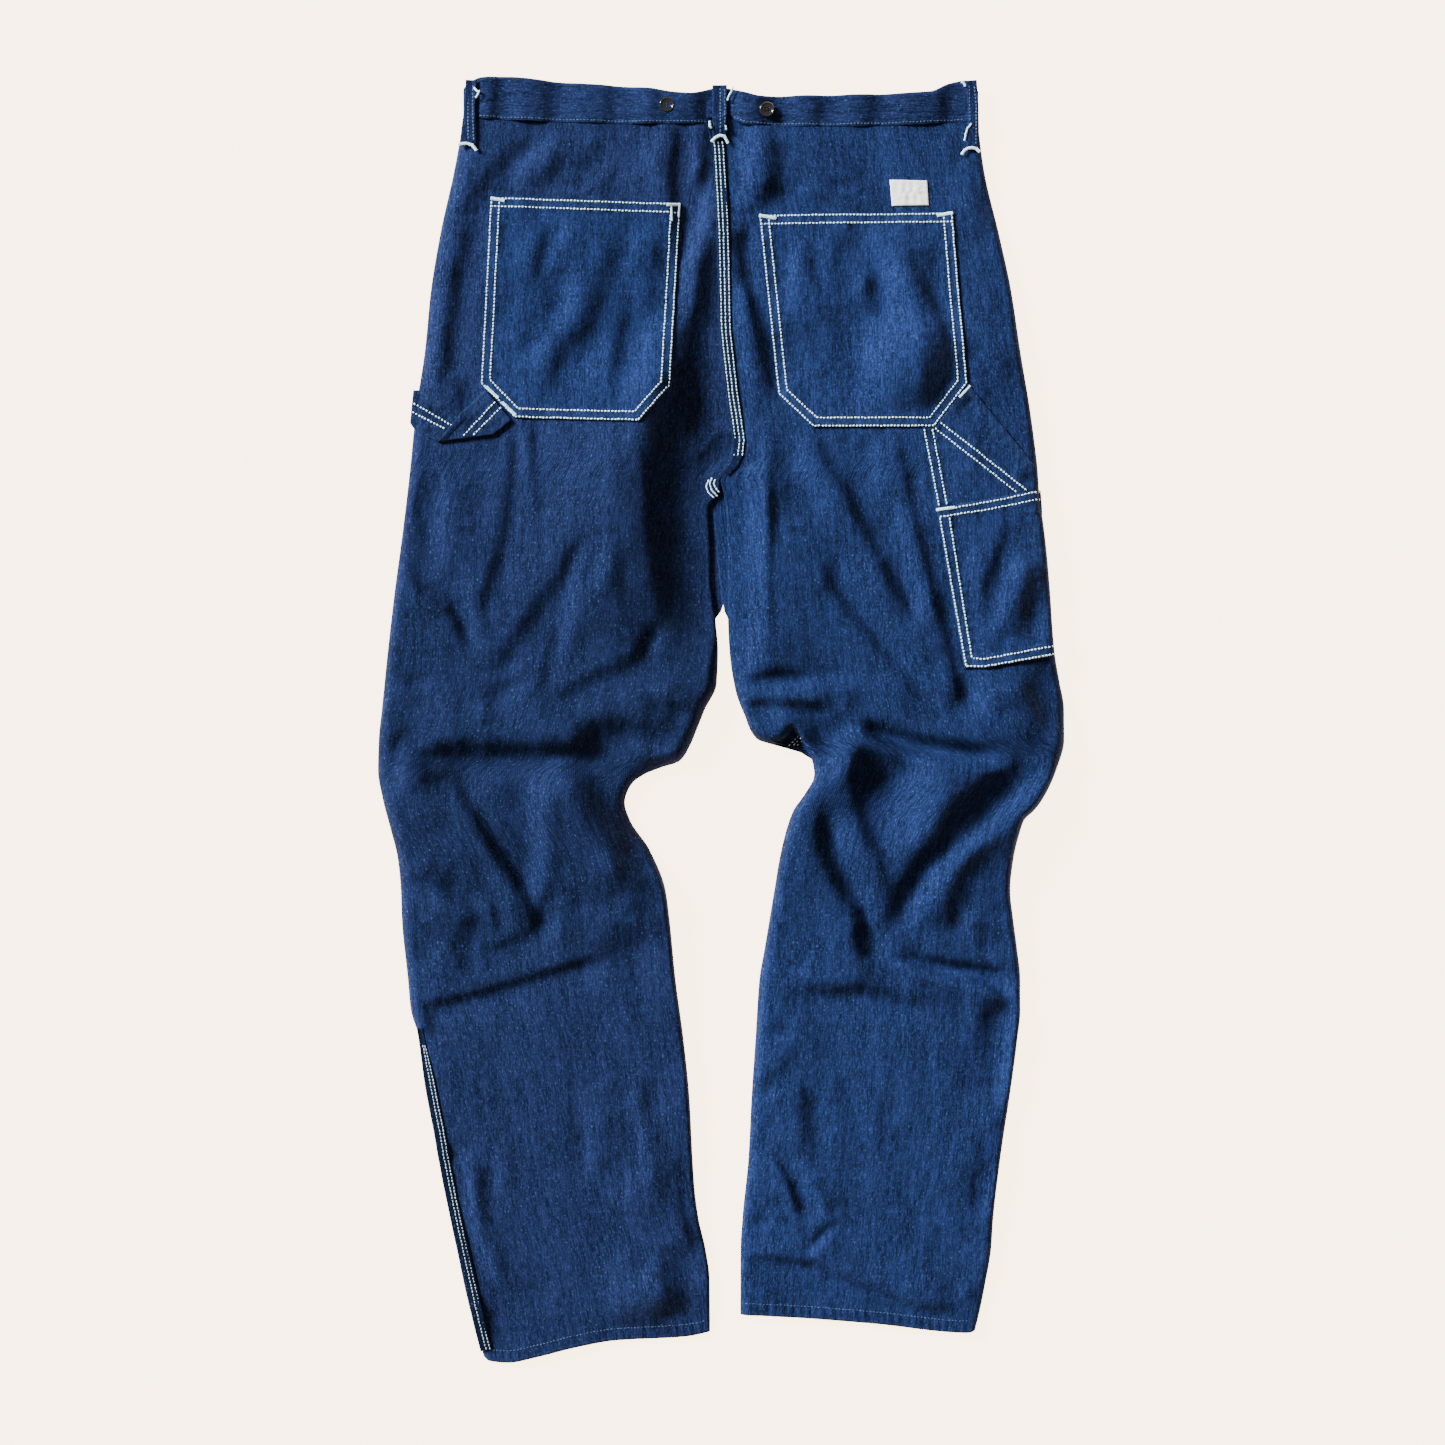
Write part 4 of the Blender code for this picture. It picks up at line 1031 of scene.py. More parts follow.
def make_front_panel(leg, material):
    """The front of one leg, flat on the floor, with its edge rolled up to the back panel's."""
    _stations, x, y = panel_grid(leg, FRONT_ROW_STEP, front_columns)
    z = np.full_like(x, 0.02)
    z[:, :2] = (0.9, 0.25)
    outside = np.stack([x, y, z], axis=-1)
    inside = np.stack([x, y, np.maximum(z, CLOTH)], axis=-1)
    uvs = np.stack([x - (x[:, :1] + x[:, -1:]) / 2.0, y], axis=-1) * MM
    faces = closed_faces(*x.shape, leg is LEFT)
    obj = add_mesh(f"{leg.name}_front_cloth", np.stack([outside, inside]), faces, np.stack([uvs, uvs]))
    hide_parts(f"front_{leg.name}")
    return finish_piece(obj, material)


@dataclass(frozen=True)
class Patch:
    name: str
    node: str
    leg: Leg
    outline: tuple
    lift: float
    thick: float
    puff: float
    seed: int
    below: object = None
    covered_by: tuple = ()


def outline_sides(outline):
    """Start, direction, length and outward direction of each side of a convex outline."""
    middle = np.mean(outline, axis=0)
    sides = []
    for start, end in zip(outline, outline[1:] + outline[:1]):
        start = np.array(start)
        run = np.array(end) - start
        length = np.linalg.norm(run)
        run = run / length
        outward = np.array([run[1], -run[0]])
        if outward @ (middle - start) > 0.0:
            outward = -outward
        sides.append((start, run, length, outward))
    return sides


def outline_distance(outline, x, y):
    """Distance inside a convex outline, and the place along its nearest side."""
    nearest = np.full(x.shape, 1.0e9)
    place = np.zeros_like(x)
    walked = 0.0
    for start, run, length, outward in outline_sides(outline):
        from_x = x - start[0]
        from_y = y - start[1]
        away = -(outward[0] * from_x + outward[1] * from_y)
        closer = away < nearest
        nearest = np.where(closer, away, nearest)
        place = np.where(closer, walked + from_x * run[0] + from_y * run[1], place)
        walked += length
    return nearest, place


def patch_base(patch, x, y):
    """Height of what a patch lies on."""
    if patch.below is not None:
        return patch_top(patch.below, x, y)
    if patch.leg is LEFT:
        x = np.maximum(x, smooth(LEFT.outer, y) + 4.0)
    return leg_top(patch.leg, x, y)


# Sewn edge of a patch: width of the turned cloth, where its rows of stitches press it down,
# distance between two puckers
TURNED_WIDTH = 9.0
PRESSED_AT = 5.0
PUCKERS_APART = 8.0


def patch_top(patch, x, y):
    """Height of a patch's outer side: it lies on what is below it and swells between its seams."""
    x, y = arrays(x, y)
    inside, place = outline_distance(patch.outline, x, y)
    swell = patch.puff * ease((inside - TURNED_WIDTH) / 30.0)
    fold = 0.45 * (1.0 - ease((inside - TURNED_WIDTH + 0.5) / 3.0))
    channel = 0.25 * bell(inside - PRESSED_AT, 2.2)
    wander = 3.2 * value_noise(place / 11.0, place * 0.0, patch.seed)
    pucker = np.sin(place * 2.0 * math.pi / PUCKERS_APART + wander) * bell(inside - TURNED_WIDTH, 7.0)
    ripple = 0.7 * value_noise(x / 15.0, y / 75.0, patch.seed + 1) * ease((inside - 6.0) / 20.0)
    raised = patch.lift + patch.thick * (0.35 + 0.65 * quarter_round(inside / 1.1))
    return patch_base(patch, x, y) + raised + swell + fold - channel + 0.28 * pucker + ripple


def cut_line(sheet, point, outward, clear_outer=False):
    """Cuts a flat mesh along a line, and takes off what is outside it if clear_outer is set."""
    bmesh.ops.bisect_plane(
        sheet, geom=sheet.verts[:] + sheet.edges[:] + sheet.faces[:], dist=0.0001,
        plane_co=(*point, 0.0), plane_no=(*outward, 0.0), clear_outer=clear_outer,
    )


def flat_patch(patch, step):
    """A patch as a flat mesh of squares, cut to its outline and where another piece covers it."""
    low = np.min(patch.outline, axis=0) - step
    columns, rows = (np.ptp(patch.outline, axis=0) / step).astype(int) + 3
    sheet = bmesh.new()
    verts = []
    for r in range(rows):
        for c in range(columns):
            verts.append(sheet.verts.new((low[0] + step * c, low[1] + step * r, 0.0)))
    for a, b, c, d in grid_quads(rows, columns):
        sheet.faces.new((verts[a], verts[d], verts[c], verts[b]))
    for inset in (0.0, 0.45):
        for start, _run, _length, outward in outline_sides(patch.outline):
            cut_line(sheet, start - outward * inset, outward, inset == 0.0)
    if patch.covered_by:
        for start, _run, _length, outward in outline_sides(patch.covered_by):
            cut_line(sheet, start, outward)
        centres = np.array([f.calc_center_median()[:2] for f in sheet.faces])
        inside, _place = outline_distance(patch.covered_by, centres[:, 0], centres[:, 1])
        gone = [f for f, depth in zip(sheet.faces[:], inside) if depth > 0.0]
        bmesh.ops.delete(sheet, geom=gone, context="FACES")
    return sheet


def make_patch(patch, material, slot, step):
    """A flat-cut piece sewn on, as one sheet with its edges turned down to what it lies on."""
    sheet = flat_patch(patch, step)
    border = [e for e in sheet.edges if e.is_boundary]
    skirt = bmesh.ops.extrude_edge_only(sheet, edges=border)["geom"]
    low = {v for v in skirt if isinstance(v, bmesh.types.BMVert)}
    sheet.verts.index_update()
    points = np.array([v.co[:] for v in sheet.verts])
    lowered = np.array([v in low for v in sheet.verts])
    faces = [[v.index for v in f.verts] for f in sheet.faces]
    sheet.free()
    x = points[:, 0]
    y = points[:, 1]
    lowest = np.minimum(patch_base(patch, x, y), leg_top(patch.leg, x, y)) - 0.2
    points[:, 2] = np.where(lowered, lowest, patch_top(patch, x, y))
    inside, _place = outline_distance(patch.outline, x, y)
    fade = 0.28 * bell(inside, 1.2) + 0.10 * bell(inside - PRESSED_AT, 3.0)
    obj = add_mesh(patch.name, points, faces, points[:, :2] * MM, fade)
    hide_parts(patch.node)
    return finish_piece(obj, material)


def frame_along(path, steps):
    """Points and unit directions spaced evenly along a path."""
    path = np.array(path, dtype=float)
    lengths = np.hypot(*np.diff(path, axis=0).T)
    walked = np.concatenate([[0.0], np.cumsum(lengths)])
    at = np.linspace(0.0, walked[-1], steps)
    x = np.interp(at, walked, path[:, 0])
    y = np.interp(at, walked, path[:, 1])
    direction = np.stack([np.gradient(x), np.gradient(y)], axis=-1)
    direction /= np.linalg.norm(direction, axis=-1, keepdims=True)
    return np.stack([x, y], axis=-1), direction, at


# Section of a strap: side in half widths, height in thicknesses
STRAP_SECTION = (
    (-1, -0.15), (-1, 0.45), (-0.93, 0.85), (-0.8, 1), (-0.4, 1), (0, 1),
    (0.4, 1), (0.8, 1), (0.93, 0.85), (1, 0.45), (1, -0.15),
)
STRAP_WEAR = 0.22


def make_strap(name, path, half_width, thick, rise, surface, material, steps=40,
               tone=1.0):
    """A folded strap along a path; half_width and rise are functions of the share along it; tone scales its
    colour, and a tone below 1 is painted shade.
    """
    points, direction, at = frame_along(path, steps)
    across = np.stack([direction[:, 1], -direction[:, 0]], axis=-1)
    share = at / at[-1]
    size = (steps, len(STRAP_SECTION))
    grid = np.zeros((*size, 3))
    uvs = np.zeros((*size, 2))
    base = surface(points[:, 0], points[:, 1])
    for c, (side, level) in enumerate(STRAP_SECTION):
        offset = side * half_width(share)
        grid[:, c, :2] = points + across * offset[:, None]
        edge = surface(grid[:, c, 0], grid[:, c, 1])
        height = np.maximum(base, edge) + rise(share)
        grid[:, c, 2] = np.where(level < 0.0, height - 0.3, height + thick * level)
        uvs[:, c, 0] = offset * MM
        uvs[:, c, 1] = at * MM
    fade = np.zeros(size)
    fade[:, [2, -3]] = STRAP_WEAR
    obj = add_mesh(name, grid, grid_quads(*size), uvs, fade, np.full(size, tone))
    return finish_piece(obj, material)


# Thread work


def stitch_mesh():
    """Points and faces of one stitch, one unit long, wide and high, lying along +X."""
    rings = ((-0.5, 0.25), (-0.34, 0.8), (0.0, 1.0), (0.34, 0.8), (0.5, 0.25))
    sides = ((0.5, 0.0), (0.38, 0.72), (0.0, 1.0), (-0.38, 0.72), (-0.5, 0.0))
    points = []
    for x, size in rings:
        for y, z in sides:
            points.append((x, y * (0.55 + 0.45 * size), z * size))
    return np.array(points), grid_quads(len(rings), len(sides))


class Thread:
    """Collects the stitches of one colour and makes one piece of them."""

    def __init__(self, name, material, slot="denim"):
        self.name = name
        self.material = material
        self.slot = slot
        self.points = []
        self.faces = []
        self.count = 0
        self.unit, self.quads = stitch_mesh()

    def place(self, centre, direction, length, width, height):
        """One stitch: centre and direction have three coordinates."""
        direction = direction / np.linalg.norm(direction)
        across = np.cross((0.0, 0.0, 1.0), direction)
        across /= np.linalg.norm(across)
        up = np.cross(direction, across)
        points = (
            self.unit[:, :1] * direction * length
            + self.unit[:, 1:2] * across * width
            + self.unit[:, 2:] * up * height
            + centre
        )
        self.faces.append(self.quads + self.count)
        self.points.append(points)
        self.count += len(points)

    def row(self, path, surface, pitch=THREAD_PITCH, length=THREAD_LENGTH, width=THREAD_WIDTH, height=0.8,
            seed=1, sink=0.15):
        """A row of stitches along a path that lies on a surface."""
        path = np.array(path, dtype=float)
        total = np.hypot(*np.diff(path, axis=0).T).sum()
        count = max(2, int(total / pitch))
        points, _direction, _at = frame_along(path, count * 2 + 1)
        rng = np.random.default_rng(seed)
        centres = points[1::2] + rng.normal(0.0, 0.10, (count, 2))
        ends = points[::2]
        z_centre = surface(centres[:, 0], centres[:, 1])
        z_ends = surface(ends[:, 0], ends[:, 1])
        for i in range(count):
            run = ends[i + 1] - ends[i]
            tilt = z_ends[i + 1] - z_ends[i]
            flow = np.array([run[0], run[1], tilt])
            size = length * rng.uniform(0.92, 1.05)
            centre = np.array([centres[i, 0], centres[i, 1], z_centre[i] - sink])
            self.place(centre, flow, size, width * rng.uniform(0.9, 1.1), height)

    def bar(self, path, surface, width, pitch=0.7, seed=5):
        """A dense bar of stitches laid across a path."""
        path = np.array(path, dtype=float)
        total = np.hypot(*np.diff(path, axis=0).T).sum()
        points, direction, _at = frame_along(path, max(4, int(total / pitch)))
        rng = np.random.default_rng(seed)
        z = surface(points[:, 0], points[:, 1])
        for (x, y), run, level in zip(points, direction, z):
            lean = rng.uniform(-0.2, 0.2)
            flow = np.array([-run[1] + run[0] * lean, run[0] + run[1] * lean, 0.0])
            self.place(np.array([x, y, level - 0.05]), flow, width, 1.0, 1.1)

    def build(self):
        obj = add_mesh(self.name, np.concatenate(self.points), np.concatenate(self.faces).tolist())
        return finish_piece(obj, self.material)


def inset_outline(outline, insets):
    """The corners of a convex outline with each side moved in by its own distance."""
    lines = []
    for (start, run, _length, outward), inset in zip(outline_sides(outline), insets):
        lines.append((start - outward * inset, run))
    corners = []
    for i, (start, run) in enumerate(lines):
        before, before_run = lines[i - 1]
        gap_x, gap_y = start - before
        cross = before_run[0] * run[1] - before_run[1] * run[0]
        corners.append(tuple(before + before_run * (gap_x * run[1] - gap_y * run[0]) / cross))
    return corners


# Panels and patches

LEG_DENIM = ((LEFT, DENIM), (RIGHT, RIGHT_DENIM))
BACK_CLOTH = {leg.name: make_back_panel(leg, material) for leg, material in LEG_DENIM}
FRONT_CLOTH = {leg.name: make_front_panel(leg, material) for leg, material in LEG_DENIM}
FLY_CLOTH = make_fly(DENIM)

POCKET_LEFT = Patch("left_back_pocket", "back_pocket_left", LEFT, BACK_POCKET_LEFT, 0.0, 1.3, 1.2, 31)
POCKET_RIGHT = Patch("right_back_pocket", "back_pocket_right", RIGHT, BACK_POCKET_RIGHT, 0.0, 1.3, 1.2, 41)
TOOL_UPPER = Patch(
    "tool_pocket_large", "tool_pocket_upper", RIGHT, TOOL_POCKET_UPPER, 0.0, 1.2, 0.8, 51,
    covered_by=BACK_POCKET_RIGHT
)
TOOL_LOWER = Patch(
    "tool_pocket_small", "tool_pocket_lower", RIGHT, TOOL_POCKET_LOWER, 0.0, 1.2, 0.8, 61, TOOL_UPPER
)
LABEL_PATCH = Patch("blank_label", "label", RIGHT, LABEL, 0.0, 0.8, 0.0, 71)
STRAP_OUTER = Patch("hammer_strap_outer", "hammer_loop", LEFT, HAMMER_OUTER, 0.2, 1.6, 0.3, 73)
STRAP_INNER = Patch("hammer_strap_inner", "hammer_loop", LEFT, HAMMER_INNER, 0.2, 1.4, 0.4, 75, STRAP_OUTER)

# Patches to sew on: patch, material, slot, size of the mesh's squares
PATCH_LOOKS = (
    (POCKET_LEFT, POCKET_DENIM, "denim", 2.0),
    (POCKET_RIGHT, RIGHT_POCKET_DENIM, "denim", 2.0),
    (TOOL_UPPER, RIGHT_DENIM, "denim", 2.0),
    (TOOL_LOWER, RIGHT_DENIM, "denim", 2.0),
    (LABEL_PATCH, LABEL_CLOTH, "label_cloth", 1.0),
    (STRAP_OUTER, STRAP_DENIM, "strap_denim", 1.5),
    (STRAP_INNER, STRAP_DENIM, "strap_denim", 1.5),
)
PATCHES = {patch.name: make_patch(patch, *looks) for patch, *looks in PATCH_LOOKS}


def left_surface(x, y):
    return leg_top(LEFT, x, y)


def leg_surface(x, y):
    """The back's outer side anywhere: the left or the right panel."""
    x, y = arrays(x, y)
    return np.where(x < smooth(SEAT_SEAM, y), leg_top(LEFT, x, y), leg_top(RIGHT, x, y))


# Waistband

BAND_THICK = 2.4
BAND_LOW_Z = 1.5 + BAND_THICK / 2.0
BAND_HIGH_Z = BAND_LOW_Z + BAND_THICK + 2.6
BAND_BEND = (BAND_HIGH_Z - BAND_LOW_Z) / 2.0
BAND_LEFT = -219.7
BAND_RIGHT = 218.6

# Stripes of the band, as in FACETS
BAND_FACETS = (
    (0.3, 8, ((-206, 490), (-206, 560))),
    (-0.3, 5, ((-196, 490), (-190, 560))),
    (0.25, 8, ((-176, 490), (-180, 560))),
    (-0.22, 5, ((-150, 490), (-146, 560))),
    (0.18, 8, ((-128, 490), (-126, 560))),
    (-0.22, 5, ((-100, 490), (-92, 560))),
    (0.18, 8, ((-74, 490), (-70, 560))),
    (-0.18, 5, ((-58, 490), (-52, 560))),
    (-0.42, 8, ((-17, 490), (-18, 560))),
    (0.3, 7, ((13, 490), (10, 560))),
    (-0.38, 7, ((35, 490), (40, 560))),
    (0.2, 8, ((62, 490), (58, 560))),
    (-0.22, 5, ((80, 490), (86, 560))),
    (0.18, 8, ((106, 490), (100, 560))),
    (-0.2, 5, ((126, 490), (130, 560))),
    (0.12, 8, ((146, 490), (146, 560))),
    (-0.42, 9, ((188, 490), (190, 560))),
)


def band_top(x, y):
    """Height of the waistband's outer side at its back."""
    x, y = arrays(x, y)
    low = smooth(WAIST_SEAM, x)
    high = smooth(WAIST_TOP, x)
    share = np.clip((y - low) / (high - low), 0.0, 1.0)
    pucker = np.sin(x * 2.0 * math.pi / 6.5 + 2.0 * value_noise(x / 8.0, y * 0.0, 82))
    z = BAND_HIGH_Z + BAND_THICK / 2.0 + all_facets(BAND_FACETS, x, y)
    return z + 0.25 * value_noise(x / 6.0, y / 9.0, 81) + 0.20 * pucker * bell(share - 0.10, 0.12)


# Section of the band: share of its height, level in half thicknesses
BAND_SECTION = (
    (0, -0.5), (0, 0.7), (0.02, 1), (0.08, 1), (0.14, 0.92), (0.22, 1), (0.3, 1),
    (0.4, 1), (0.5, 1), (0.6, 1), (0.7, 1), (0.8, 1), (0.88, 1), (0.94, 0.92),
    (0.975, 0.7), (1, 0.2), (0.99, -0.4), (0.95, -0.8), (0.6, -1), (0.2, -1),
)


BAND_BACK_STEPS = 240
BAND_FRONT_STEPS = 90
BEND_STEPS = 9


def band_bend(x, first_angle):
    """Half a turn at one end of the band: rows of x, z and the direction out of the cloth."""
    rows = []
    for i in range(1, BEND_STEPS):
        angle = first_angle - math.pi * i / BEND_STEPS
        out_x = math.cos(angle)
        out_z = math.sin(angle)
        rows.append((x + BAND_BEND * out_x, BAND_LOW_Z + BAND_BEND * (1.0 + out_z), out_x, out_z))
    return rows


def band_path():
    """The band's middle line all round: back, right bend, front, left bend."""
    left = BAND_LEFT + BAND_THICK / 2.0 + BAND_BEND
    right = BAND_RIGHT - BAND_THICK / 2.0 - BAND_BEND
    path = [(x, BAND_HIGH_Z, 0.0, 1.0) for x in np.linspace(left, right, BAND_BACK_STEPS)]
    path += band_bend(right, math.pi / 2.0)
    path += [(x, BAND_LOW_Z, 0.0, -1.0) for x in np.linspace(right, left, BAND_FRONT_STEPS)]
    path += band_bend(left, -math.pi / 2.0)
    path.append(path[0])
    return np.array(path).T


def make_waistband(material):
    """A flattened ring of doubled cloth, its top edge folded over."""
    half = BAND_THICK / 2.0
    path_x, path_z, out_x, out_z = band_path()
    walked = np.concatenate([[0.0], np.cumsum(np.hypot(np.diff(path_x), np.diff(path_z)))])
    low = smooth(WAIST_SEAM, path_x)
    high = smooth(WAIST_TOP, path_x)
    size = (len(path_x), len(BAND_SECTION))
    grid = np.zeros((*size, 3))
    uvs = np.zeros((*size, 2))
    fade = np.zeros(size)
    for c, (share, level) in enumerate(BAND_SECTION):
        y = low + (high - low) * share
        x = path_x + out_x * half * level
        z = path_z + out_z * half * level
        on_back = (out_z > 0.999) & (level > -0.9)
        swell = band_top(x, y) - (BAND_HIGH_Z + half)
        grid[:, c] = np.stack([x, y, np.where(on_back, z + swell, z)], axis=-1)
        uvs[:, c] = np.stack([y, walked], axis=-1) * MM
        fade[:, c] = 0.22 * bell(share - 0.985, 0.03) + 0.12 * bell(share, 0.03)
    obj = add_mesh("waistband_cloth", grid, grid_quads(*size), uvs, fade)
    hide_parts("waistband")
    return finish_piece(obj, material)


WAISTBAND = make_waistband(DENIM)


def top_surface(x, y):
    """The waistband above the waist seam and the panels below it."""
    x, y = arrays(x, y)
    return np.where(y > smooth(WAIST_SEAM, x), band_top(x, y), leg_surface(x, y))


def never_below(surface, reach):
    """A surface smoothed upwards, for straps that bridge small steps."""
    def raised(x, y):
        x, y = arrays(x, y)
        best = surface(x, y)
        for way_x, way_y in ((reach, 0.0), (-reach, 0.0), (0.0, reach), (0.0, -reach)):
            best = np.maximum(best, surface(x + way_x, y + way_y))
        return best
    return raised


# Seams, straps and loops

SEAT_STRIP = (
    (-8, 508), (-3.6, 492), (-2.5, 486.6), (-0.4, 450), (1.3, 417), (2.4, 370), (3.4, 330),
    (9, 280), (13.8, 248), (15.2, 237.6), (13.6, 224), (11, 217), (4, 209.5),
)
OUTSEAM_STRIP = (
    (-256, -262), (-253.6, -276), (-247.8, -306), (-239.4, -349), (-232, -392),
    (-223, -436), (-213.2, -480), (-205.2, -515), (-200, -536),
)


# Belt loops: half width at the top and at the bottom, points (x, y) from the top down
BELT_LOOPS = {
    "belt_loop_left": (4.8, 7.0, ((-212.6, 543.2), (-213.9, 521.5), (-215.0, 486.5))),
    "belt_loop_center": (6.2, 6.2, ((-1.6, 539.4), (-1.5, 515.0), (-1.3, 493.8))),
    "belt_loop_right": (4.6, 5.2, ((212.3, 543.0), (213.9, 521.5), (213.5, 483.5))),
}

SEAT_STRIP_THICK = 1.3
OUTSEAM_THICK = 0.9
LOOP_THICK = 1.5
LOOP_LIFT = 0.25
LOOP_BOW = 1.1

# The seat seam and outseam strips get a low tone (0.35 and 0.12): painted shade, for strips that lie low in
# the shade of the folds.
SEAT_SEAM_STRIP = make_strap(
    "seat_seam", SEAT_STRIP, lambda s: 5.4 - 2.4 * ease((s - 0.9) / 0.1), SEAT_STRIP_THICK,
    lambda s: 0.0, leg_surface, DENIM, 150, 0.35
)
OUTSEAM_PIECE = make_strap(
    "left_outseam", OUTSEAM_STRIP, lambda s: 2.6 + 2.4 * ease(s / 0.2), OUTSEAM_THICK,
    lambda s: 0.0, leg_surface, DENIM, 140, 0.12
)
AROUND_LOOP = never_below(top_surface, 3.0)


def loop_bow(share):
    """How far a belt loop stands off the cloth between its two sewn ends."""
    return LOOP_BOW * np.sin(math.pi * share) ** 0.8


def make_belt_loop(node, top_half, bottom_half, path):
    strap = make_strap(
        node + "_strap", path, lambda s: top_half + (bottom_half - top_half) * ease((s - 0.35) / 0.6),
        LOOP_THICK, lambda s: LOOP_LIFT + loop_bow(s), AROUND_LOOP, STRAP_DENIM
    )
    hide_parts(node)
    return strap


LOOP_STRAPS = {node: make_belt_loop(node, *values) for node, values in BELT_LOOPS.items()}


def patch_surface(patch):
    def surface(x, y):
        return patch_top(patch, x, y)
    return surface


def patch_rows(thread, patch, inset):
    """One row round a pocket's sides and bottom, and one across its whole top."""
    others = len(patch.outline) - 1
    corners = inset_outline(patch.outline, [0.9] + [inset] * others)
    thread.row(corners[1:] + corners[:1], patch_surface(patch), seed=patch.seed + int(10 * inset))
    corners = inset_outline(patch.outline, [inset] + [0.5] * others)
    thread.row(corners[:2], patch_surface(patch), seed=patch.seed + 3 + int(10 * inset))


def lifted(base, lift):
    def surface(x, y):
        return base(x, y) + lift
    return surface


# Belt loops: y of their tops, length, x of their middles from left to right
LOOP_TOP_Y = 541.0
LOOP_LENGTH = 56.0
LOOP_MIDDLES = (-214.5, -1.4, 213.5)


def on_loop(x, y):
    """The outer side of a belt loop."""
    share = np.clip((LOOP_TOP_Y - y) / LOOP_LENGTH, 0.0, 1.0)
    left, center, right = LOOP_MIDDLES
    middle = np.where(x < -100.0, left, np.where(x > 100.0, right, center))
    below = np.maximum(AROUND_LOOP(x, y), AROUND_LOOP(middle, y))
    return below + LOOP_LIFT + LOOP_THICK + 0.1 + loop_bow(share)


WHITE = Thread("white_stitches", WHITE_THREAD)
BLUE = Thread("blue_stitches", BLUE_THREAD)
DIM = Thread("shaded_stitches", DIM_THREAD)

ON_LEFT_POCKET = patch_surface(POCKET_LEFT)
ON_RIGHT_POCKET = patch_surface(POCKET_RIGHT)
ON_TOOL_UPPER = patch_surface(TOOL_UPPER)
ON_TOOL_LOWER = patch_surface(TOOL_LOWER)
ON_STRAP_OUTER = patch_surface(STRAP_OUTER)
ON_STRAP_INNER = patch_surface(STRAP_INNER)
FIRST_ROW = 1.3
for patch in (POCKET_LEFT, POCKET_RIGHT):
    patch_rows(WHITE, patch, FIRST_ROW)
    patch_rows(WHITE, patch, FIRST_ROW + ROW_APART)

for offset in (-3.1, 0.3, 4.0):
    shifted = [(x + offset, y) for x, y in SEAT_STRIP[1:-2]]
    WHITE.row(shifted, lifted(leg_surface, SEAT_STRIP_THICK), width=1.1, seed=90 + int(offset))
# The left outseam rows are in the darker thread: painted shade.
for offset in (-3.2, 0.2, 3.4):
    shifted = [(x + offset * (0.6 if y > -290.0 else 1.0), y) for x, y in OUTSEAM_STRIP[1:]]
    DIM.row(shifted, lifted(leg_surface, OUTSEAM_THICK), width=0.95, seed=95 + int(offset))

# Rows of the tool pockets and the hammer loop: surface, points (x, y)
WHITE_ROWS = (
    (ON_TOOL_UPPER, ((185.7, 252.0), (258.8, 194.2))),
    (ON_TOOL_UPPER, ((180.6, 247.4), (250.3, 192.5))),
    (ON_TOOL_UPPER, ((171.8, 246.6), (184.6, 180.6))),
    (ON_TOOL_UPPER, ((178.9, 246.6), (191.0, 181.9))),
    (ON_TOOL_LOWER, ((182.6, 177.4), (195.9, 178.9), (238.4, 186.6), (264.8, 192.4), (270.8, 193.0))),
    (ON_TOOL_LOWER, ((184.5, 171.3), (227.4, 178.1), (266.5, 186.2), (271.2, 186.6))),
    (ON_TOOL_LOWER, ((185.0, 171.3), (207.2, 45.0))),
    (ON_TOOL_LOWER, ((193.0, 171.3), (212.0, 51.8))),
    (ON_TOOL_LOWER, ((207.2, 45.2), (224.0, 45.0), (282.0, 55.6))),
    (ON_TOOL_LOWER, ((212.1, 51.8), (223.1, 51.2), (281.6, 62.3))),
    (ON_STRAP_OUTER, ((-261.6, 268.5), (-227.4, 248.6))),
    (ON_STRAP_OUTER, ((-262.6, 261.2), (-234.2, 246.1))),
    (ON_STRAP_INNER, ((-218.8, 240.0), (-191.3, 269.4))),
    (ON_STRAP_INNER, ((-210.4, 240.6), (-186.4, 264.8))),
)
for number, (surface, points) in enumerate(WHITE_ROWS):
    WHITE.row(points, surface, seed=200 + number)

# Bartacks: surface, width of the bar, points (x, y)
BARTACKS = (
    (ON_LEFT_POCKET, 2.6, ((-199.2, 281.9), (-189.2, 272.6))),
    (ON_LEFT_POCKET, 2.6, ((-185.4, 268.6), (-174.6, 258.0))),
    (ON_LEFT_POCKET, 2.8, ((-195.6, 442.6), (-184.5, 440.6))),
    (ON_LEFT_POCKET, 2.8, ((-46.0, 436.6), (-35.4, 437.6))),
    (ON_LEFT_POCKET, 1.9, ((-42.6, 436.5), (-42.2, 423.5))),
    (ON_LEFT_POCKET, 1.9, ((-35.8, 436.5), (-36.4, 428.0))),
    (ON_RIGHT_POCKET, 2.6, ((201.8, 273.2), (210.6, 282.6))),
    (ON_RIGHT_POCKET, 2.8, ((32.4, 427.8), (46.0, 425.4))),
    (ON_RIGHT_POCKET, 2.8, ((183.4, 427.6), (195.8, 429.6))),
    (ON_TOOL_LOWER, 2.6, ((182.4, 177.6), (197.0, 179.4))),
    (on_loop, 2.6, ((-223.0, 487.4), (-220.6, 488.4), (-215.5, 488.7), (-211.2, 487.1), (-207.8, 482.8))),
    (on_loop, 2.6, ((-8.2, 491.2), (-5.5, 494.3), (-1.4, 496.4), (2.6, 495.7), (5.6, 490.2))),
    (on_loop, 2.6, ((204.1, 479.8), (206.5, 483.4), (209.5, 485.0), (212.9, 485.5), (216.3, 484.8),
                    (219.1, 482.1))),
)
for number, (surface, width, points) in enumerate(BARTACKS):
    WHITE.bar(points, surface, width, seed=300 + number)

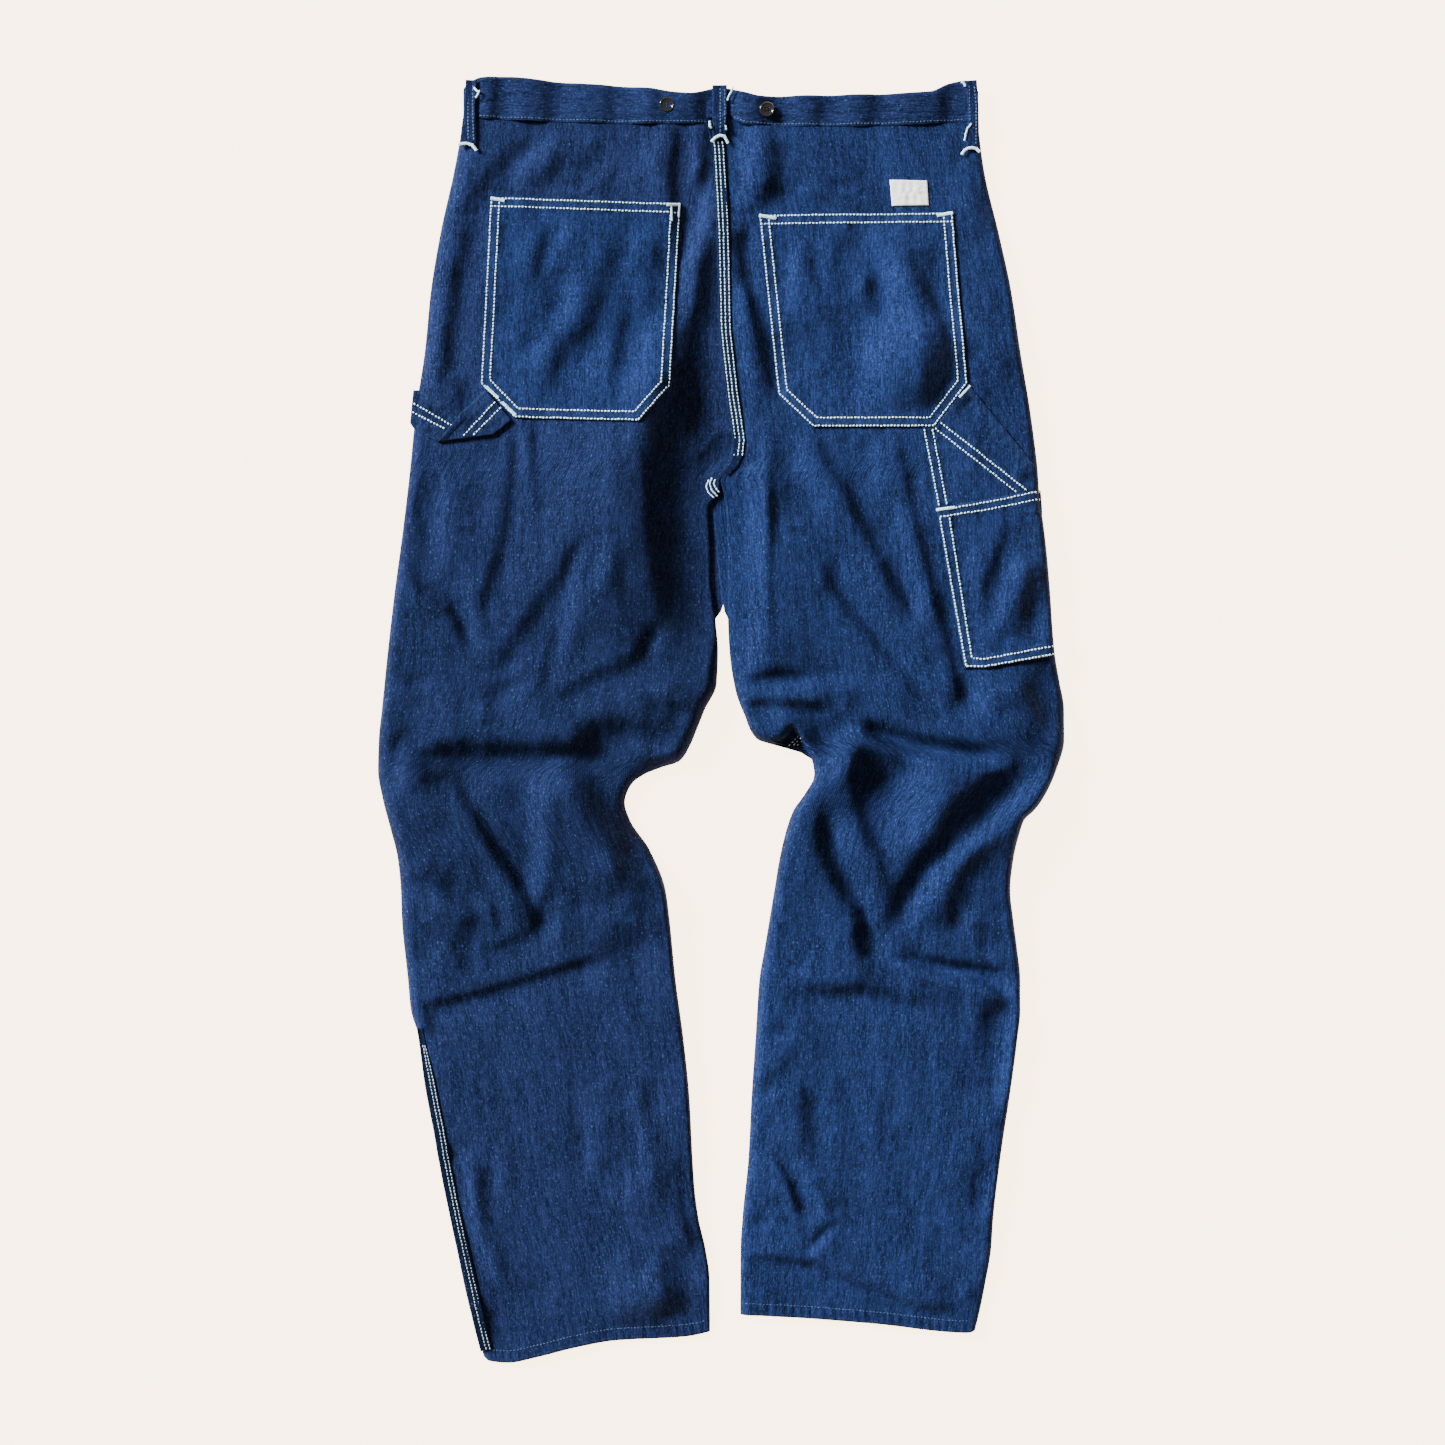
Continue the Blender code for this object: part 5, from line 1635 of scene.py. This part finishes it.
# Loose ends of thread at the belt loops: width, points (x, y)
LOOSE_ENDS = (
    (1.9, ((-210.4, 536.4), (-207.4, 533.4), (-205.6, 532.8), (-207, 530), (-208.7, 527.9))),
    (1.5, ((9.9, 536.8), (8.1, 532.5), (6, 529.1), (5.1, 526.2))),
    (2.2, ((-10.1, 507.9), (-9.8, 505), (-9, 502))),
    (1.5, ((3.7, 504.1), (4.3, 500.7))),
    (2, ((203.6, 541.4), (205.7, 541), (207.4, 538))),
    (1.6, ((212.1, 505.8), (208.7, 501.5), (207.4, 497.7), (206.4, 491.3))),
)
for number, (width, points) in enumerate(LOOSE_ENDS):
    WHITE.row(points, lifted(on_loop, 0.2), pitch=1.2, length=1.8, width=width, height=1.0, seed=330 + number)

# The triple seam where it turns under at the crotch
CROTCH_ARCS = (
    ((-10.9, 203.9), (-12.8, 198.7), (-11.5, 193.5), (-6.1, 188.4)),
    ((-8.3, 205.9), (-10, 200), (-8, 194.5), (-2.9, 189.8)),
    ((-5.2, 204.6), (-6.5, 200.7), (-4.5, 196.5), (-1.6, 193.2)),
)
for number, points in enumerate(CROTCH_ARCS):
    WHITE.row(points, left_surface, pitch=2.2, length=2.3, width=1.3, seed=340 + number)

# The triple seam in the fold above the right knee, in the darker thread: painted shade
KNEE_ROWS = (
    ((66.4, -12.9), (56.6, -23)),
    ((68.5, -14.5), (60.9, -22.4)),
    ((69.6, -17), (63.7, -22.8)),
)
for number, points in enumerate(KNEE_ROWS):
    DIM.row(points, leg_surface, width=1.0, seed=350 + number)

# Waist seam, belt loops and hems, in thread close to the cloth's colour
for x0, x1 in ((-206.0, -9.0), (10.0, 206.0)):
    xs = np.linspace(x0, x1, 60)
    BLUE.row(list(zip(xs, smooth(WAIST_SEAM, xs) + 2.4)), band_top, width=1.0, height=0.5, seed=int(x1) + 400)
for leg, x0, x1 in ((LEFT, -198.0, -14.0), (RIGHT, 20.0, 210.0)):
    xs = np.linspace(x0, x1, 60)
    hem_row = list(zip(xs, smooth(leg.hem, xs) + 10.0))
    BLUE.row(hem_row, leg_surface, width=0.9, height=0.4, seed=int(x1) + 500)

# Rows along the belt loops: width, points (x, y)
LOOP_ROWS = (
    (1.5, ((-214.6, 540), (-215.2, 521), (-214.6, 492))),
    (1.3, ((-210.9, 539), (-211.2, 521), (-210, 491))),
    (1.5, ((-0.9, 537), (-0.7, 499))),
    (1.2, ((3, 536), (3.1, 500))),
    (1.2, ((210.6, 539), (211, 521), (211, 508))),
    (1.5, ((215, 538), (216.6, 521), (216.2, 488))),
)
for number, (width, points) in enumerate(LOOP_ROWS):
    BLUE.row(points, on_loop, width=width, height=0.45, seed=360 + number)

for thread in (WHITE, BLUE, DIM):
    thread.build()


# Buttons


# Profile of a button from its underside round the rim to the dish: shares of its radius and height
BUTTON_PROFILE = (
    (0, 0), (0.83, 0), (0.94, 0.14), (1, 0.4), (0.99, 0.67), (0.95, 0.89), (0.88, 1),
    (0.80, 0.98), (0.74, 0.85), (0.68, 0.70), *((share, 0.62) for share in np.linspace(0.62, 0.0, 18)),
)
BUTTON_SIDES = 64
HOLE_AT = 0.19
HOLE_RADIUS = 0.15


def hole_depth(x, y):
    """Depth of the four holes at a place on the button's dish."""
    away = min(math.hypot(x - px, y - py) for px in (-HOLE_AT, HOLE_AT) for py in (-HOLE_AT, HOLE_AT))
    return 0.5 * float(ease((HOLE_RADIUS - away) / 0.06))


def make_button(name, node):
    """A turned four-hole button with a raised rim, as wide and high as its node."""
    low, high = np.array(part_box(node)) / MM
    centre = (low + high) / 2.0
    size = high - low
    points = []
    for share, level in BUTTON_PROFILE:
        on_dish = 0.0 < share < 0.65 and level > 0.6
        for i in range(BUTTON_SIDES):
            angle = 2.0 * math.pi * i / BUTTON_SIDES
            x = share * math.cos(angle)
            y = share * math.sin(angle)
            height = level - hole_depth(x, y) if on_dish else level
            points.append((centre[0] + x * size[0] / 2.0, centre[1] + y * size[0] / 2.0,
                           low[2] + size[2] * height))
    faces = []
    for r in range(len(BUTTON_PROFILE) - 1):
        for i in range(BUTTON_SIDES):
            a = r * BUTTON_SIDES + i
            b = r * BUTTON_SIDES + (i + 1) % BUTTON_SIDES
            faces.append([a, b, b + BUTTON_SIDES, a + BUTTON_SIDES])
    obj = add_mesh(name, points, faces)
    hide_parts(node)
    return finish_piece(obj, GLOSS_BLACK)


make_button("left_suspender_button", "suspender_button_left")
make_button("right_suspender_button", "suspender_button_right")
make_button("front_waist_button", "waist_button")


# Floor, light and camera


FLOOR_HALF_M = 60.0
SUN_STRENGTH = 15.5
SUN_WIDTH = 16.0
SKY_STRENGTH = 0.44


def make_floor():
    mesh = bpy.data.meshes.new("floor")
    corners = [(-1.0, -1.0), (1.0, -1.0), (1.0, 1.0), (-1.0, 1.0)]
    mesh.from_pydata([(x * FLOOR_HALF_M, y * FLOOR_HALF_M, 0.0) for x, y in corners], [], [(0, 1, 2, 3)])
    floor = bpy.data.objects.new("floor", mesh)
    bpy.context.scene.collection.objects.link(floor)
    nodes = Nodes("floor_paper")
    nodes.surface(Base_Color=(0.25, 0.235, 0.22), Roughness=0.95, Specular_IOR_Level=0.0,
                  Emission_Color=(1.0, 0.76, 0.53), Emission_Strength=6.9)
    mesh.materials.append(nodes.material)


def make_light():
    key = bpy.data.lights.new("key", "SUN")
    key.energy = SUN_STRENGTH
    key.angle = math.radians(SUN_WIDTH)
    key.color = (0.80, 0.94, 1.0)
    obj = bpy.data.objects.new("key", key)
    level = math.radians(LIGHT_ELEVATION)
    towards = (LIGHT_X * math.cos(level), LIGHT_Y * math.cos(level), math.sin(level))
    obj.rotation_euler = (math.acos(towards[2]), 0.0, math.atan2(towards[0], -towards[1]))
    bpy.context.scene.collection.objects.link(obj)
    world = bpy.data.worlds.new("studio")
    world.use_nodes = True
    sky = world.node_tree.nodes["Background"]
    sky.inputs["Color"].default_value = (1.0, 0.84, 0.60, 1.0)
    sky.inputs["Strength"].default_value = SKY_STRENGTH
    bpy.context.scene.world = world


def make_camera():
    data = bpy.data.cameras.new("camera")
    data.sensor_width = SENSOR
    data.lens = SENSOR * (CAMERA_HEIGHT - GARMENT_MIDDLE_Z) / FRAME_WIDTH
    camera = bpy.data.objects.new("camera", data)
    camera.location = (CAMERA_X * MM, CAMERA_Y * MM, CAMERA_HEIGHT * MM)
    bpy.context.scene.collection.objects.link(camera)
    bpy.context.scene.camera = camera


make_floor()
make_light()
make_camera()
